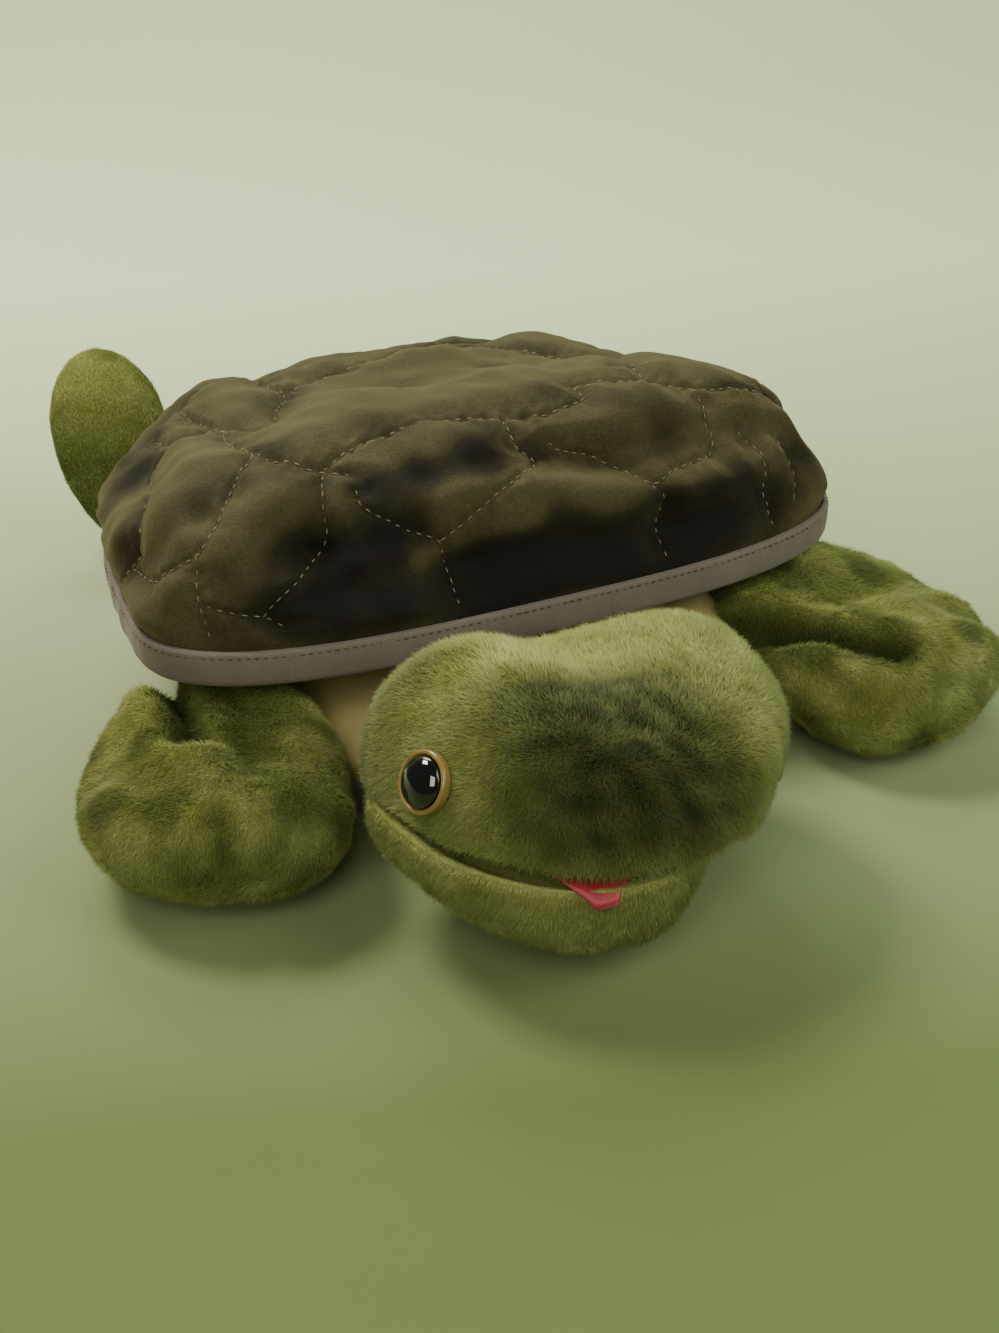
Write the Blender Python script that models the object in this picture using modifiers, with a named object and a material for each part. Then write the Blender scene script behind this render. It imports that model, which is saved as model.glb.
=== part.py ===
# Plush turtle with a loose quilted shell, a cream belly pillow, a jointed head with an
# opening mouth, four flippers and a tail. Metres, +Z up. The turtle faces -Y, and +X is
# its left side. The origin is the middle of the flat belly, on the floor.
import math

import bmesh
import bpy
import numpy as np
from mathutils import Euler, Vector

# Clearances and shared counts
GAP = 0.0003                  # between sewn neighbours
CUT_OVER = 0.010              # how far a cutter runs past what it cuts
SHELL_POINTS = 64             # points round the shell, its lining and its tape
BELLY_POINTS = 40             # points round the belly and its tape
CLOTH = 0.0012                # lining cloth and tape
PLUSH = 0.0030                # plush cloth with the root of its pile

# Shell seen from above: the tape's outer edge
SHELL_WIDTH = 0.270
SHELL_AHEAD = 0.117           # reach of the rim ahead of the origin
SHELL_BEHIND = 0.100
SHELL_WIDEST = 0.062          # where it is widest, ahead of the origin
SHELL_CENTRE = 0.031          # where the crown is, ahead of the origin
SHELL_FRONT_SQUARENESS_SHARE = 3.0
SHELL_REAR_SQUARENESS_SHARE = 2.2

# Shell seen from the side
RIM_BOTTOM = 0.0505           # underside of the rim tape
RIM_TAPE_HEIGHT = 0.013
RIM_TAPE_WALL = 0.0018
DOME_HEIGHT = 0.056           # of the dome over its tape
DOME_STEEPNESS_SHARE = 0.55
DOME_LENGTH_SHARES = (-1.0, -0.60, -0.15, 0.45, 1.0)      # of the reach ahead or behind
DOME_HEIGHT_SHARES = (0.84, 1.0, 0.82, 0.66, 0.36)
DOME_LEVELS_SHARE = (0.09, 0.18, 0.27, 0.36, 0.45, 0.54, 0.63, 0.72, 0.81, 0.91)
QUILT_THICK = 0.0060
LINING_SLACK = 0.0030         # how loosely the lining hangs under the quilt
QUILT_PUFF = 0.0022           # how far a quilted patch swells
QUILT_CHANNEL = 0.0018        # how deep its stitched lines draw in
QUILT_RAY_EVERY = 8           # points of the shell from one stitched ray to the next
QUILT_RING_LEVEL = 6          # dome level that the stitched ring follows
FOLD_DEPTH = 0.007            # the slack valley behind the front ridge
FOLD_WIDTH = 0.020
FOLD_BACK = 0.019             # how far behind the crown the valley runs
CREASE_DEPTH = 0.005          # the slack crease across the front wall
CREASE_WIDTH = 0.055
CREASE_SIDE = 0.045           # its middle, to the turtle's left
CREASE_LEVEL = 5
SLACK_FOLD_DEPTH = 0.0070     # of the deepest slack fold between the stitched lines
SLACK_FOLD_LENGTH = 0.022     # half its length round the dome
SLACK_FOLD_WIDTH = 0.0125     # half its width up the dome
# Slack folds and ridges: share of a full turn from the front to the left, level, depth
SLACK_FOLD_SHARES = (
    (-0.069, 0.43, 0.80),
    (-0.119, 0.36, 0.50),
    (-0.044, 0.24, 0.70),
    (0.039, 0.22, 1.00),
    (0.039, 0.54, 0.60),
    (0.117, 0.44, 0.70),
    (-0.025, 0.62, 0.45),
    (-0.039, 0.53, -0.45),
    (0.056, 0.36, -0.45),
    (-0.169, 0.44, -0.45),
    (-0.233, 0.31, 0.50),
    (0.206, 0.32, 0.60),
    (0.417, 0.38, 0.60),
    (0.628, 0.34, 0.60),
)

# Belly pillow seen from above and from the side
BELLY_WIDTH = 0.172
BELLY_AHEAD = 0.130
BELLY_BEHIND = 0.086
BELLY_WIDEST = 0.045
BELLY_FRONT_SQUARENESS_SHARE = 4.0
BELLY_REAR_SQUARENESS_SHARE = 2.2
BELLY_HEIGHT = 0.038
BELLY_SWELL = 0.0022          # how far its side swells past its seam
BELLY_TOP_ROUND = 0.016
BELLY_TAPE_HEIGHT = 0.0115
BELLY_TAPE_WALL = 0.0022
BELLY_CLOTH = 0.0025
BASE_PANEL = 0.0025

# Side gussets, which carry the shell on the belly
GUSSET_AHEAD = 0.036
GUSSET_BEHIND = 0.024
GUSSET_FOOT_LEVEL = 0.024     # where it is sewn to the belly's side
GUSSET_FOOT_HEIGHT = 0.009
GUSSET_THICK = 0.0040
GUSSET_FLANGE = 0.0085        # width of its edge under the rim tape

# Head, in its own frame: upright through the middle of the skull, looking along -Y
HEAD_SIDE = -0.026            # the head lies a little to the turtle's right
HEAD_REACH = 0.196            # middle of the skull ahead of the origin
HEAD_TURN = math.radians(3)
HEAD_TILT = math.radians(6)   # how far the nose is lifted
HEAD_ROLL = math.radians(12)  # it lies askew, with its right cheek lifted
HEAD_ROLL_LEVEL = 0.040
HEAD_WIDTH = 0.134
HEAD_LENGTH = 0.104
HEAD_TOP = 0.082
CHIN_LEVEL = 0.0065
MOUTH_LEVEL = 0.036
MOUTH_HINGE_BACK = 0.051      # hinge line behind the middle of the skull
MOUTH_GAPE = 0.0045           # how far the lips part at the front at rest
MOUTH_GAP = 0.0006            # between the two red linings at the hinge
MOUTH_LINING = 0.0012
MOUTH_BOARD = 0.0016
MOUTH_RIM = 0.0040            # plush lip outside the lining
BROW_RISE = 0.0050            # of the two brows
BROW_DIP = 0.0085             # of the valley between them
BROW_SIDE = 0.044             # middle of a brow, from the middle of the skull
BROW_WIDTH = 0.017
BROW_BACK = 0.018             # where both are highest, behind the middle of the skull
BROW_LENGTH = 0.046
JAW_INSET = 0.0045            # how far the jaw lies inside the head's outline
JAW_WIDTH = 0.120
JAW_SIDE = -0.007             # the jaw hangs askew, to the turtle's right
# Rings of the skull, back to nose: place along its half length, width, top, bottom
HEAD_RING_SHARES = (
    (0.94, 0.44, 0.54, 0.48),
    (0.80, 0.77, 0.85, 0.80),
    (0.52, 0.97, 0.98, 0.98),
    (0.12, 1.00, 1.00, 1.00),
    (-0.28, 0.96, 0.95, 1.00),
    (-0.62, 0.82, 0.81, 0.97),
    (-0.86, 0.58, 0.66, 0.86),
    (-0.97, 0.34, 0.48, 0.60),
)
HEAD_RING_POINTS = 16
INNER_RING_POINTS = 12        # of its hollow and its stuffing, which don't show
HEAD_SQUARENESS_SHARE = 0.72
CAGE_SPARE_SHARE = 1.05       # a cage is a little larger than the form that it smooths to

# Tongue
TONGUE_WIDTH = 0.030
TONGUE_SIDE = -0.013          # it lies loose towards the turtle's right
TONGUE_OUT = 0.002            # how far its tip reaches past the nose
TONGUE_LENGTH = 0.042
TONGUE_THICK = 0.0018
TONGUE_DROP = 0.0030

# Safety eyes: amber cup, black dome, ribbed shank and lock washer
EYE_SIDE = 0.0530
EYE_AHEAD = 0.0080
EYE_LEVEL = 0.0525
EYE_DIAMETER = 0.0190
EYE_RIM_HEIGHT = 0.0016
PUPIL_DIAMETER = 0.0155
PUPIL_HEIGHT = 0.0042
PUPIL_SEAT = 0.0008
EYE_SHANK_DIAMETER = 0.0040
EYE_SHANK_LENGTH = 0.0140
EYE_WASHER_DIAMETER = 0.0130
EYE_WASHER_THICK = 0.0012
EYE_SOCKET = 0.0010           # how deep the eye sits in the plush

# Neck sleeve
NECK_WIDTH = 0.098
NECK_HEIGHT = 0.042
NECK_LEVEL = 0.0310
NECK_WALL = 0.0030
NECK_LENGTH = 0.040
NECK_POINTS = 24

# Front flippers: mitts that swing about an upright line at the shoulder
FRONT_ROOT_RADIUS = 0.0225
FRONT_ROOT_LOW = 0.014
FRONT_ROOT_HIGH = 0.034
KNUCKLE_SEGMENTS = 24         # of the rounded seam ends that the limbs turn on
FRONT_LENGTH_RIGHT = 0.090    # from the shoulder line to the tip
FRONT_LENGTH_LEFT = 0.098
FRONT_WIDTH = 0.084
FRONT_TOP = 0.0470
FRONT_BOTTOM = 0.0010
FRONT_SHOULDER_AHEAD = 0.084
FRONT_SPLAY_RIGHT = math.radians(22)
FRONT_SPLAY_LEFT = math.radians(8)
FRONT_FOLD = 0.006            # the slack fold across the mitt
FRONT_FOLD_RING = 3
# Rings of the mitt: place along its length, width, height, lean away from the belly
FRONT_RING_SHARES = (
    (-0.24, 0.26, 0.66, 0.00),
    (-0.10, 0.54, 0.76, 0.03),
    (0.18, 0.86, 0.86, 0.20),
    (0.42, 1.02, 0.98, 0.08),
    (0.66, 1.02, 1.00, 0.00),
    (0.88, 0.88, 0.84, 0.00),
    (0.98, 0.52, 0.52, 0.00),
)
FLIPPER_RING_POINTS = 10
FLIPPER_INNER_POINTS = 8
FLIPPER_SQUARENESS_SHARE = 0.90

# Rear flippers: flat leaves that flap about a level line at the hip
REAR_ROOT_RADIUS = 0.0085
REAR_ROOT_WIDTH = 0.024
FACET_SLACK = 0.0006          # how far the belly's flat facets lie inside its true outline
REAR_HIP_LEVEL = 0.0225
REAR_BEARING = math.radians(45)       # way out of the hip, from straight back
REAR_LENGTH = 0.113
REAR_WIDTH = 0.056
REAR_THICK = 0.0170
REAR_RUN_SHARE = 0.36         # of its length, level, out from under the rim
REAR_RISE_RIGHT = math.radians(50)
REAR_RISE_LEFT = math.radians(-8)
REAR_BACK_RIGHT = math.radians(-3)    # bearing of the leaf past the rim
REAR_BACK_LEFT = math.radians(32)
# Rings of the leaf: place along its length, width, thickness
REAR_RING_SHARES = (
    (-0.05, 0.44, 0.62),
    (0.05, 0.60, 0.94),
    (0.24, 0.62, 0.86),
    (0.48, 0.84, 0.98),
    (0.72, 1.00, 1.00),
    (0.91, 0.74, 0.74),
    (0.99, 0.42, 0.42),
)

# Tail
TAIL_LENGTH = 0.034
TAIL_WIDTH = 0.022
TAIL_THICK = 0.015
TAIL_LEVEL = 0.0240
TAIL_ROOT_RADIUS = 0.0085
TAIL_ROOT_HEIGHT = 0.010
TAIL_DROOP = math.radians(18)
TAIL_RING_SHARES = ((-0.17, 0.62), (0.10, 1.0), (0.50, 0.80), (0.84, 0.44), (1.0, 0.16))

# Colours and finishes, as the toy shows them
VELOUR_BROWN = (0x5A, 0x51, 0x3A)
LINING_GREEN = (0x6B, 0x75, 0x4A)
TAPE_TAUPE = (0x75, 0x6B, 0x66)
CREAM = (0xB7, 0xA8, 0x6A)
FUR_GREEN = (0x7B, 0x8C, 0x45)
FUR_DARK = (0x5C, 0x6E, 0x2C)
FIBRE_WHITE = (0xDD, 0xDA, 0xCE)
MOUTH_RED = (0xA0, 0x1C, 0x2C)
BOARD_GREY = (0x8E, 0x8A, 0x80)
AMBER = (0xA8, 0x8C, 0x45)
EYE_BLACK = (0x0B, 0x0B, 0x0D)
WASHER_WHITE = (0xC9, 0xC9, 0xC4)
SMOOTH_ANGLE = math.radians(40)


def linear(byte):
    """One sRGB byte as linear light."""
    value = byte / 255
    return value / 12.92 if value <= 0.04045 else ((value + 0.055) / 1.055) ** 2.4


def material(name, rgb, roughness):
    """A plain Principled material."""
    paint = bpy.data.materials.new(name)
    paint.use_nodes = True
    shader = paint.node_tree.nodes["Principled BSDF"]
    shader.inputs["Base Color"].default_value = (*map(linear, rgb), 1.0)
    shader.inputs["Roughness"].default_value = roughness
    shader.inputs["Metallic"].default_value = 0.0
    return paint


def place(name, bm, paint, home):
    """Turn a bmesh into an object of its own."""
    mesh = bpy.data.meshes.new(name)
    bmesh.ops.recalc_face_normals(bm, faces=bm.faces)
    bm.to_mesh(mesh)
    bm.free()
    if paint:
        mesh.materials.append(paint)
    mesh.shade_smooth()
    mesh.set_sharp_from_angle(angle=SMOOTH_ANGLE)
    obj = bpy.data.objects.new(name, mesh)
    home.objects.link(obj)
    return obj


def loft(rings, bottom=None, top=None, closed=True):
    """Skin a run of rings with quads. Each end is one face, or a fan to a pole point."""
    bm = bmesh.new()
    rows = [[bm.verts.new(point) for point in ring] for ring in rings]
    count = len(rows[0])
    for low, high in zip(rows, rows[1:]):
        for i in range(count):
            j = (i + 1) % count
            bm.faces.new((low[i], low[j], high[j], high[i]))
    for row, pole in ((rows[0], bottom), (rows[-1], top)):
        if pole is not None:
            tip = bm.verts.new(pole)
            for i in range(count):
                bm.faces.new((row[i], row[(i + 1) % count], tip))
        elif closed:
            bm.faces.new(row)
    return bm


def subdivide(obj, levels):
    """Smooth a coarse cage."""
    smooth = obj.modifiers.new("Smooth", "SUBSURF")
    smooth.levels = levels
    smooth.render_levels = levels


def cut(obj, cutter, operation="DIFFERENCE"):
    """Cut an object with a guide, or keep only what the guide holds."""
    knife = obj.modifiers.new("Cut", "BOOLEAN")
    knife.operation = operation
    knife.object = cutter
    knife.solver = "EXACT"


def guide(name, bm):
    """A cutter, which is no piece of the toy."""
    obj = place(name, bm, None, CUTTERS)
    obj.hide_render = True
    obj.display_type = "WIRE"
    return obj


def box(low, high):
    """A block between two corners."""
    bm = bmesh.new()
    bmesh.ops.create_cube(bm, size=1.0)
    low, high = Vector(low), Vector(high)
    for vert in bm.verts:
        vert.co = Vector(l + (c + 0.5) * (h - l) for l, h, c in zip(low, high, vert.co))
    return bm


def egg(half_width, ahead, behind, widest, squareness, points):
    """Outline seen from above: a superellipse half ahead of its widest line, one behind."""
    turn = np.arange(points) * 2 * math.pi / points
    front = np.cos(turn) > 0
    power = 2 / np.where(front, squareness[0], squareness[1])
    x = half_width * np.sign(np.sin(turn)) * np.abs(np.sin(turn)) ** power
    reach = np.where(front, ahead - widest, behind + widest)
    y = -widest - reach * np.sign(np.cos(turn)) * np.abs(np.cos(turn)) ** power
    return np.stack([x, y], 1)


def inset(path, distance):
    """The same outline drawn in along its normals."""
    along = np.roll(path, -1, 0) - np.roll(path, 1, 0)
    out = np.stack([along[:, 1], -along[:, 0]], 1)
    out /= np.linalg.norm(out, axis=1)[:, None]
    return path - out * distance


def level_ring(path, level):
    """An outline at one height."""
    return [Vector((x, y, level)) for x, y in path]


def half_width_at(y, half_width, ahead, behind, widest, squareness):
    """Half the outline's width at a place along it."""
    front = y < -widest
    reach = ahead - widest if front else behind + widest
    power = squareness[0] if front else squareness[1]
    return half_width * (1 - (abs(y + widest) / reach) ** power) ** (1 / power)


def oval(centre, across, up, half_width, rise, fall, squareness, points):
    """A closed superellipse ring round a centre, with its own height above and below."""
    ring = []
    for i in range(points):
        turn = 2 * math.pi * i / points
        side = math.copysign(abs(math.cos(turn)) ** squareness, math.cos(turn))
        height = math.copysign(abs(math.sin(turn)) ** squareness, math.sin(turn))
        ring.append(centre + across * half_width * side
                    + up * height * (rise if height > 0 else fall))
    return ring


for old in list(bpy.data.objects):
    bpy.data.objects.remove(old, do_unlink=True)
PARTS = bpy.data.collections.new("plush_turtle")
CUTTERS = bpy.data.collections.new("cutters")
bpy.context.scene.collection.children.link(PARTS)
bpy.context.scene.collection.children.link(CUTTERS)

velour = material("quilted velour", VELOUR_BROWN, 0.85)
lining = material("lining cloth", LINING_GREEN, 0.9)
tape = material("binding tape", TAPE_TAUPE, 0.8)
cream = material("cream velour", CREAM, 0.85)
plush = material("green plush", FUR_GREEN, 0.95)
plush_dark = material("dark green plush", FUR_DARK, 0.95)
fibre = material("fibre stuffing", FIBRE_WHITE, 0.95)
red = material("red satin", MOUTH_RED, 0.5)
board = material("stiffener board", BOARD_GREY, 0.8)
amber = material("amber eye plastic", AMBER, 0.25)
black = material("black eye plastic", EYE_BLACK, 0.06)
white = material("washer nylon", WASHER_WHITE, 0.5)

# The quilted shell
SHELL_EGG = (SHELL_AHEAD, SHELL_BEHIND, SHELL_WIDEST,
             (SHELL_FRONT_SQUARENESS_SHARE, SHELL_REAR_SQUARENESS_SHARE))
RIM = egg(SHELL_WIDTH / 2, *SHELL_EGG, SHELL_POINTS)
QUILT_SEAT = RIM_TAPE_WALL + GAP
LINING_SEAT = QUILT_SEAT + QUILT_THICK + GAP
RIM_TAPE_WIDTH = LINING_SEAT + CLOTH + GAP + RIM_TAPE_WALL
COLLAR_FOOT = RIM_BOTTOM + RIM_TAPE_WALL + GAP
COLLAR_TOP = RIM_BOTTOM + RIM_TAPE_HEIGHT + GAP


def plain_dome(path, level_share, lower):
    """One level of the dome: an outline drawn in towards the crown and lifted."""
    rise = level_share * math.pi / 2
    draw = math.cos(rise) ** DOME_STEEPNESS_SHARE
    y = -SHELL_CENTRE + (path[:, 1] + SHELL_CENTRE) * draw
    places = [share * (SHELL_AHEAD if share < 0 else SHELL_BEHIND)
              for share in DOME_LENGTH_SHARES]
    height = DOME_HEIGHT * np.interp(y, places, DOME_HEIGHT_SHARES) - lower
    return np.stack([path[:, 0] * draw, y, COLLAR_TOP + height * math.sin(rise)], 1)


def slack(points, path, lower):
    """How far the slack folds draw the cloth in: each is a long dent along the dome."""
    total = np.zeros(len(points))
    for turn_share, level_share, depth_share in SLACK_FOLD_SHARES:
        spot = round(turn_share * SHELL_POINTS) % SHELL_POINTS
        middle = plain_dome(path[[spot]], level_share, lower)
        way = path[(spot + 1) % SHELL_POINTS] - path[spot - 1]
        way /= np.linalg.norm(way)
        gap = points - middle
        along = gap[:, :2] @ way
        across = np.sqrt((gap ** 2).sum(1) - along ** 2)
        total += depth_share * np.exp(-(along / SLACK_FOLD_LENGTH) ** 2
                                      - (across / SLACK_FOLD_WIDTH) ** 2)
    return SLACK_FOLD_DEPTH * total


def dome_ring(level_share, seat, lower, puff=0.0, channel=0.0, ring_level=False):
    """One level of the quilted dome, with its folds.

    The level is a share of a quarter turn; seat is how far the surface lies inside the
    rim's outline, and lower how far it lies under the outer cloth. Patches between the
    stitched rays swell by puff, and the rays draw in by channel.
    """
    rise = level_share * math.pi / 2
    path = inset(RIM, seat)
    points = plain_dome(path, level_share, lower)
    x, y, z = points.T
    valley = -SHELL_CENTRE + FOLD_BACK
    fold = FOLD_DEPTH * np.exp(-((y - valley) / FOLD_WIDTH) ** 2) * math.sin(rise) ** 2
    z = z - fold
    crease = np.exp(-((x - CREASE_SIDE) / CREASE_WIDTH) ** 2) * (y < -SHELL_WIDEST)
    nearness = max(0.0, 1 - abs(level_share - DOME_LEVELS_SHARE[CREASE_LEVEL - 1]) / 0.2)
    y = y + CREASE_DEPTH * crease * nearness
    swell = np.full(SHELL_POINTS, puff)
    swell[::QUILT_RAY_EVERY] = -channel
    if ring_level:
        swell[:] = -channel
    swell -= slack(points, path, lower)
    out = path - [0.0, -SHELL_CENTRE]
    out /= np.linalg.norm(out, axis=1)[:, None]
    x = x + out[:, 0] * swell * math.cos(rise)
    y = y + out[:, 1] * swell * math.cos(rise)
    z = z + swell * math.sin(rise)
    return [Vector(point) for point in zip(x, y, z)]


def crown(lower, puff=0.0):
    """The dome's top point."""
    share = np.interp(-SHELL_CENTRE, [s * SHELL_AHEAD for s in DOME_LENGTH_SHARES[:3]],
                      DOME_HEIGHT_SHARES[:3])
    fold = FOLD_DEPTH * math.exp(-(FOLD_BACK / FOLD_WIDTH) ** 2)
    height = DOME_HEIGHT * float(share) - lower - fold + puff
    return Vector((0.0, -SHELL_CENTRE, COLLAR_TOP + height))


collar = inset(RIM, QUILT_SEAT)
outside = [level_ring(collar, COLLAR_FOOT), level_ring(collar, COLLAR_TOP)]
for number, level_share in enumerate(DOME_LEVELS_SHARE):
    outside.append(dome_ring(level_share, QUILT_SEAT, 0.0, QUILT_PUFF * (number > 0),
                             QUILT_CHANNEL * (number > 0), number == QUILT_RING_LEVEL))
collar = inset(RIM, QUILT_SEAT + QUILT_THICK)
inside = [level_ring(collar, COLLAR_FOOT), level_ring(collar, COLLAR_TOP)]
for level_share in DOME_LEVELS_SHARE[1::2]:
    inside.append(dome_ring(level_share, QUILT_SEAT + QUILT_THICK, QUILT_THICK))
place("carapace_quilt", loft(inside[::-1] + outside, crown(QUILT_THICK), crown(0.0, QUILT_PUFF)),
      velour, PARTS)

collar = inset(RIM, LINING_SEAT)
lining_rings = [level_ring(collar, COLLAR_FOOT), level_ring(collar, COLLAR_TOP)]
lining_drop = QUILT_THICK + CLOTH + LINING_SLACK
for level_share in DOME_LEVELS_SHARE[1::2]:
    lining_rings.append(dome_ring(level_share, LINING_SEAT + LINING_SLACK, lining_drop))
shell_lining = place("carapace_lining",
                     loft(lining_rings, None, crown(lining_drop), closed=False), lining, PARTS)
wall = shell_lining.modifiers.new("Cloth", "SOLIDIFY")
wall.thickness = CLOTH
wall.offset = -1.0


def sweep_tape(name, path, level, profile):
    """A tape round an outline: a flat closed curve that carries the tape's own section."""
    section = bpy.data.curves.new(name + "_section", "CURVE")
    spline = section.splines.new("POLY")
    spline.points.add(len(profile) - 1)
    for point, (out, up) in zip(spline.points, profile):
        point.co = (-out, up, 0.0, 1.0)
    spline.use_cyclic_u = True
    section_object = bpy.data.objects.new(name + "_section", section)
    section_object.hide_render = True
    section_object.display_type = "WIRE"
    CUTTERS.objects.link(section_object)
    curve = bpy.data.curves.new(name, "CURVE")
    curve.dimensions = "2D"
    curve.fill_mode = "NONE"
    curve.bevel_mode = "OBJECT"
    curve.bevel_object = section_object
    run = curve.splines.new("POLY")
    run.points.add(len(path) - 1)
    for point, (x, y) in zip(run.points, path):
        point.co = (x, y, 0.0, 1.0)
    run.use_cyclic_u = True
    rail = bpy.data.objects.new(name + "_rail", curve)
    CUTTERS.objects.link(rail)
    bpy.context.view_layer.update()
    swept = rail.evaluated_get(bpy.context.evaluated_depsgraph_get())
    bm = bmesh.new()
    bm.from_mesh(bpy.data.meshes.new_from_object(swept))
    bmesh.ops.remove_doubles(bm, verts=bm.verts, dist=GAP / 10)
    bmesh.ops.translate(bm, verts=bm.verts, vec=(0.0, 0.0, level))
    bpy.data.objects.remove(rail, do_unlink=True)
    return place(name, bm, tape, PARTS)


half = RIM_TAPE_WALL
sweep_tape("carapace_binding", RIM, RIM_BOTTOM, (
    (-RIM_TAPE_WIDTH, half), (-RIM_TAPE_WIDTH + half, 0.0), (-half, 0.0), (0.0, half),
    (0.0, RIM_TAPE_HEIGHT), (-half, RIM_TAPE_HEIGHT), (-half, half),
    (-RIM_TAPE_WIDTH + half, half), (-RIM_TAPE_WIDTH + half, RIM_TAPE_HEIGHT),
    (-RIM_TAPE_WIDTH, RIM_TAPE_HEIGHT)))

# The belly pillow
BELLY_EGG = (BELLY_AHEAD, BELLY_BEHIND, BELLY_WIDEST,
             (BELLY_FRONT_SQUARENESS_SHARE, BELLY_REAR_SQUARENESS_SHARE))
BELLY = egg(BELLY_WIDTH / 2, *BELLY_EGG, BELLY_POINTS)
SIDE_TOP = BELLY_HEIGHT - BELLY_TOP_ROUND


def pillow_rings(seat, foot, top):
    """The pillow's levels: a straight seam wall, a swollen side and a rounded top."""
    shoulder = top - BELLY_TOP_ROUND / 2
    return [
        level_ring(inset(BELLY, seat), foot),
        level_ring(inset(BELLY, seat), BELLY_TAPE_HEIGHT + GAP * 2),
        level_ring(inset(BELLY, seat - BELLY_SWELL), SIDE_TOP - BELLY_SWELL),
        level_ring(inset(BELLY, seat - BELLY_SWELL), (SIDE_TOP + shoulder) / 2 + BELLY_SWELL / 2),
        level_ring(inset(BELLY, seat + BELLY_TOP_ROUND / 4), shoulder + BELLY_SWELL),
        level_ring(inset(BELLY, seat + BELLY_TOP_ROUND), top - BELLY_SWELL / 4),
    ]


middle = -(BELLY_AHEAD - BELLY_BEHIND) / 2
cover = place("belly_cover",
              loft(pillow_rings(0.0, BASE_PANEL + GAP, BELLY_HEIGHT), None,
                   Vector((0.0, middle, BELLY_HEIGHT)), closed=False), cream, PARTS)
wall = cover.modifiers.new("Cloth", "SOLIDIFY")
wall.thickness = BELLY_CLOTH
wall.offset = -1.0
place("belly_stuffing",
      loft(pillow_rings(BELLY_CLOTH + GAP * 2, BASE_PANEL + GAP,
                        BELLY_HEIGHT - BELLY_CLOTH - GAP * 2), None,
           Vector((0.0, middle, BELLY_HEIGHT - BELLY_CLOTH - GAP * 2))), fibre, PARTS)
place("belly_base_panel", loft([level_ring(BELLY, 0.0), level_ring(BELLY, BASE_PANEL)]),
      cream, PARTS)
BELLY_TAPE_OUT = BELLY_TAPE_WALL + GAP
half = BELLY_TAPE_WALL / 3
sweep_tape("belly_binding", inset(BELLY, -BELLY_TAPE_OUT), 0.0, (
    (-BELLY_TAPE_WALL, 0.0), (-half, 0.0), (0.0, half), (0.0, BELLY_TAPE_HEIGHT - half),
    (-half, BELLY_TAPE_HEIGHT), (-BELLY_TAPE_WALL, BELLY_TAPE_HEIGHT)))

# Side gussets between the belly's side and the rim
GUSSET_STATIONS = 6
GUSSET_TOP = RIM_BOTTOM - GAP
for side, side_name in ((-1, "right"), (1, "left")):
    sections = []
    for number in range(GUSSET_STATIONS):
        share = number / (GUSSET_STATIONS - 1)
        y = -GUSSET_AHEAD + share * (GUSSET_AHEAD + GUSSET_BEHIND)
        foot = half_width_at(y, BELLY_WIDTH / 2, *BELLY_EGG) + BELLY_SWELL + GAP
        edge = half_width_at(y, SHELL_WIDTH / 2, *SHELL_EGG) - RIM_TAPE_WALL
        flange = edge - GUSSET_FLANGE
        knee = GUSSET_TOP - GUSSET_THICK
        sections.append([Vector((side * x, y, z)) for x, z in (
            (foot, GUSSET_FOOT_LEVEL), (foot + GUSSET_THICK, GUSSET_FOOT_LEVEL),
            (edge, knee), (edge, GUSSET_TOP), (flange, GUSSET_TOP), (flange, knee),
            (foot, GUSSET_FOOT_LEVEL + GUSSET_FOOT_HEIGHT))])
    place("side_gusset_" + side_name, loft(sections), plush_dark, PARTS)

# The head and the jaw, built in the head's own frame under one empty at the neck pivot
X, Y, Z = Vector((1, 0, 0)), Vector((0, 1, 0)), Vector((0, 0, 1))
head_frame = bpy.data.objects.new("head_frame", None)
head_frame.rotation_mode = "YXZ"
head_frame.rotation_euler = (-HEAD_TILT, HEAD_ROLL, HEAD_TURN)
lean = Z * HEAD_ROLL_LEVEL
unrolled = Euler((-HEAD_TILT, 0.0, HEAD_TURN)).to_matrix() @ lean
rolled = Euler(head_frame.rotation_euler, "YXZ").to_matrix() @ lean
head_frame.location = Vector((HEAD_SIDE, -HEAD_REACH, 0.0)) + unrolled - rolled
PARTS.objects.link(head_frame)
jaw_frame = bpy.data.objects.new("jaw_frame", None)
jaw_frame.parent = head_frame
jaw_frame.location = (JAW_SIDE, MOUTH_HINGE_BACK, MOUTH_LEVEL)
jaw_frame.rotation_euler = (math.atan(MOUTH_GAPE / (HEAD_LENGTH / 2 + MOUTH_HINGE_BACK)), 0.0, 0.0)
PARTS.objects.link(jaw_frame)
HEAD_HALF = Vector((HEAD_WIDTH / 2, HEAD_LENGTH / 2, 0.0))


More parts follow.
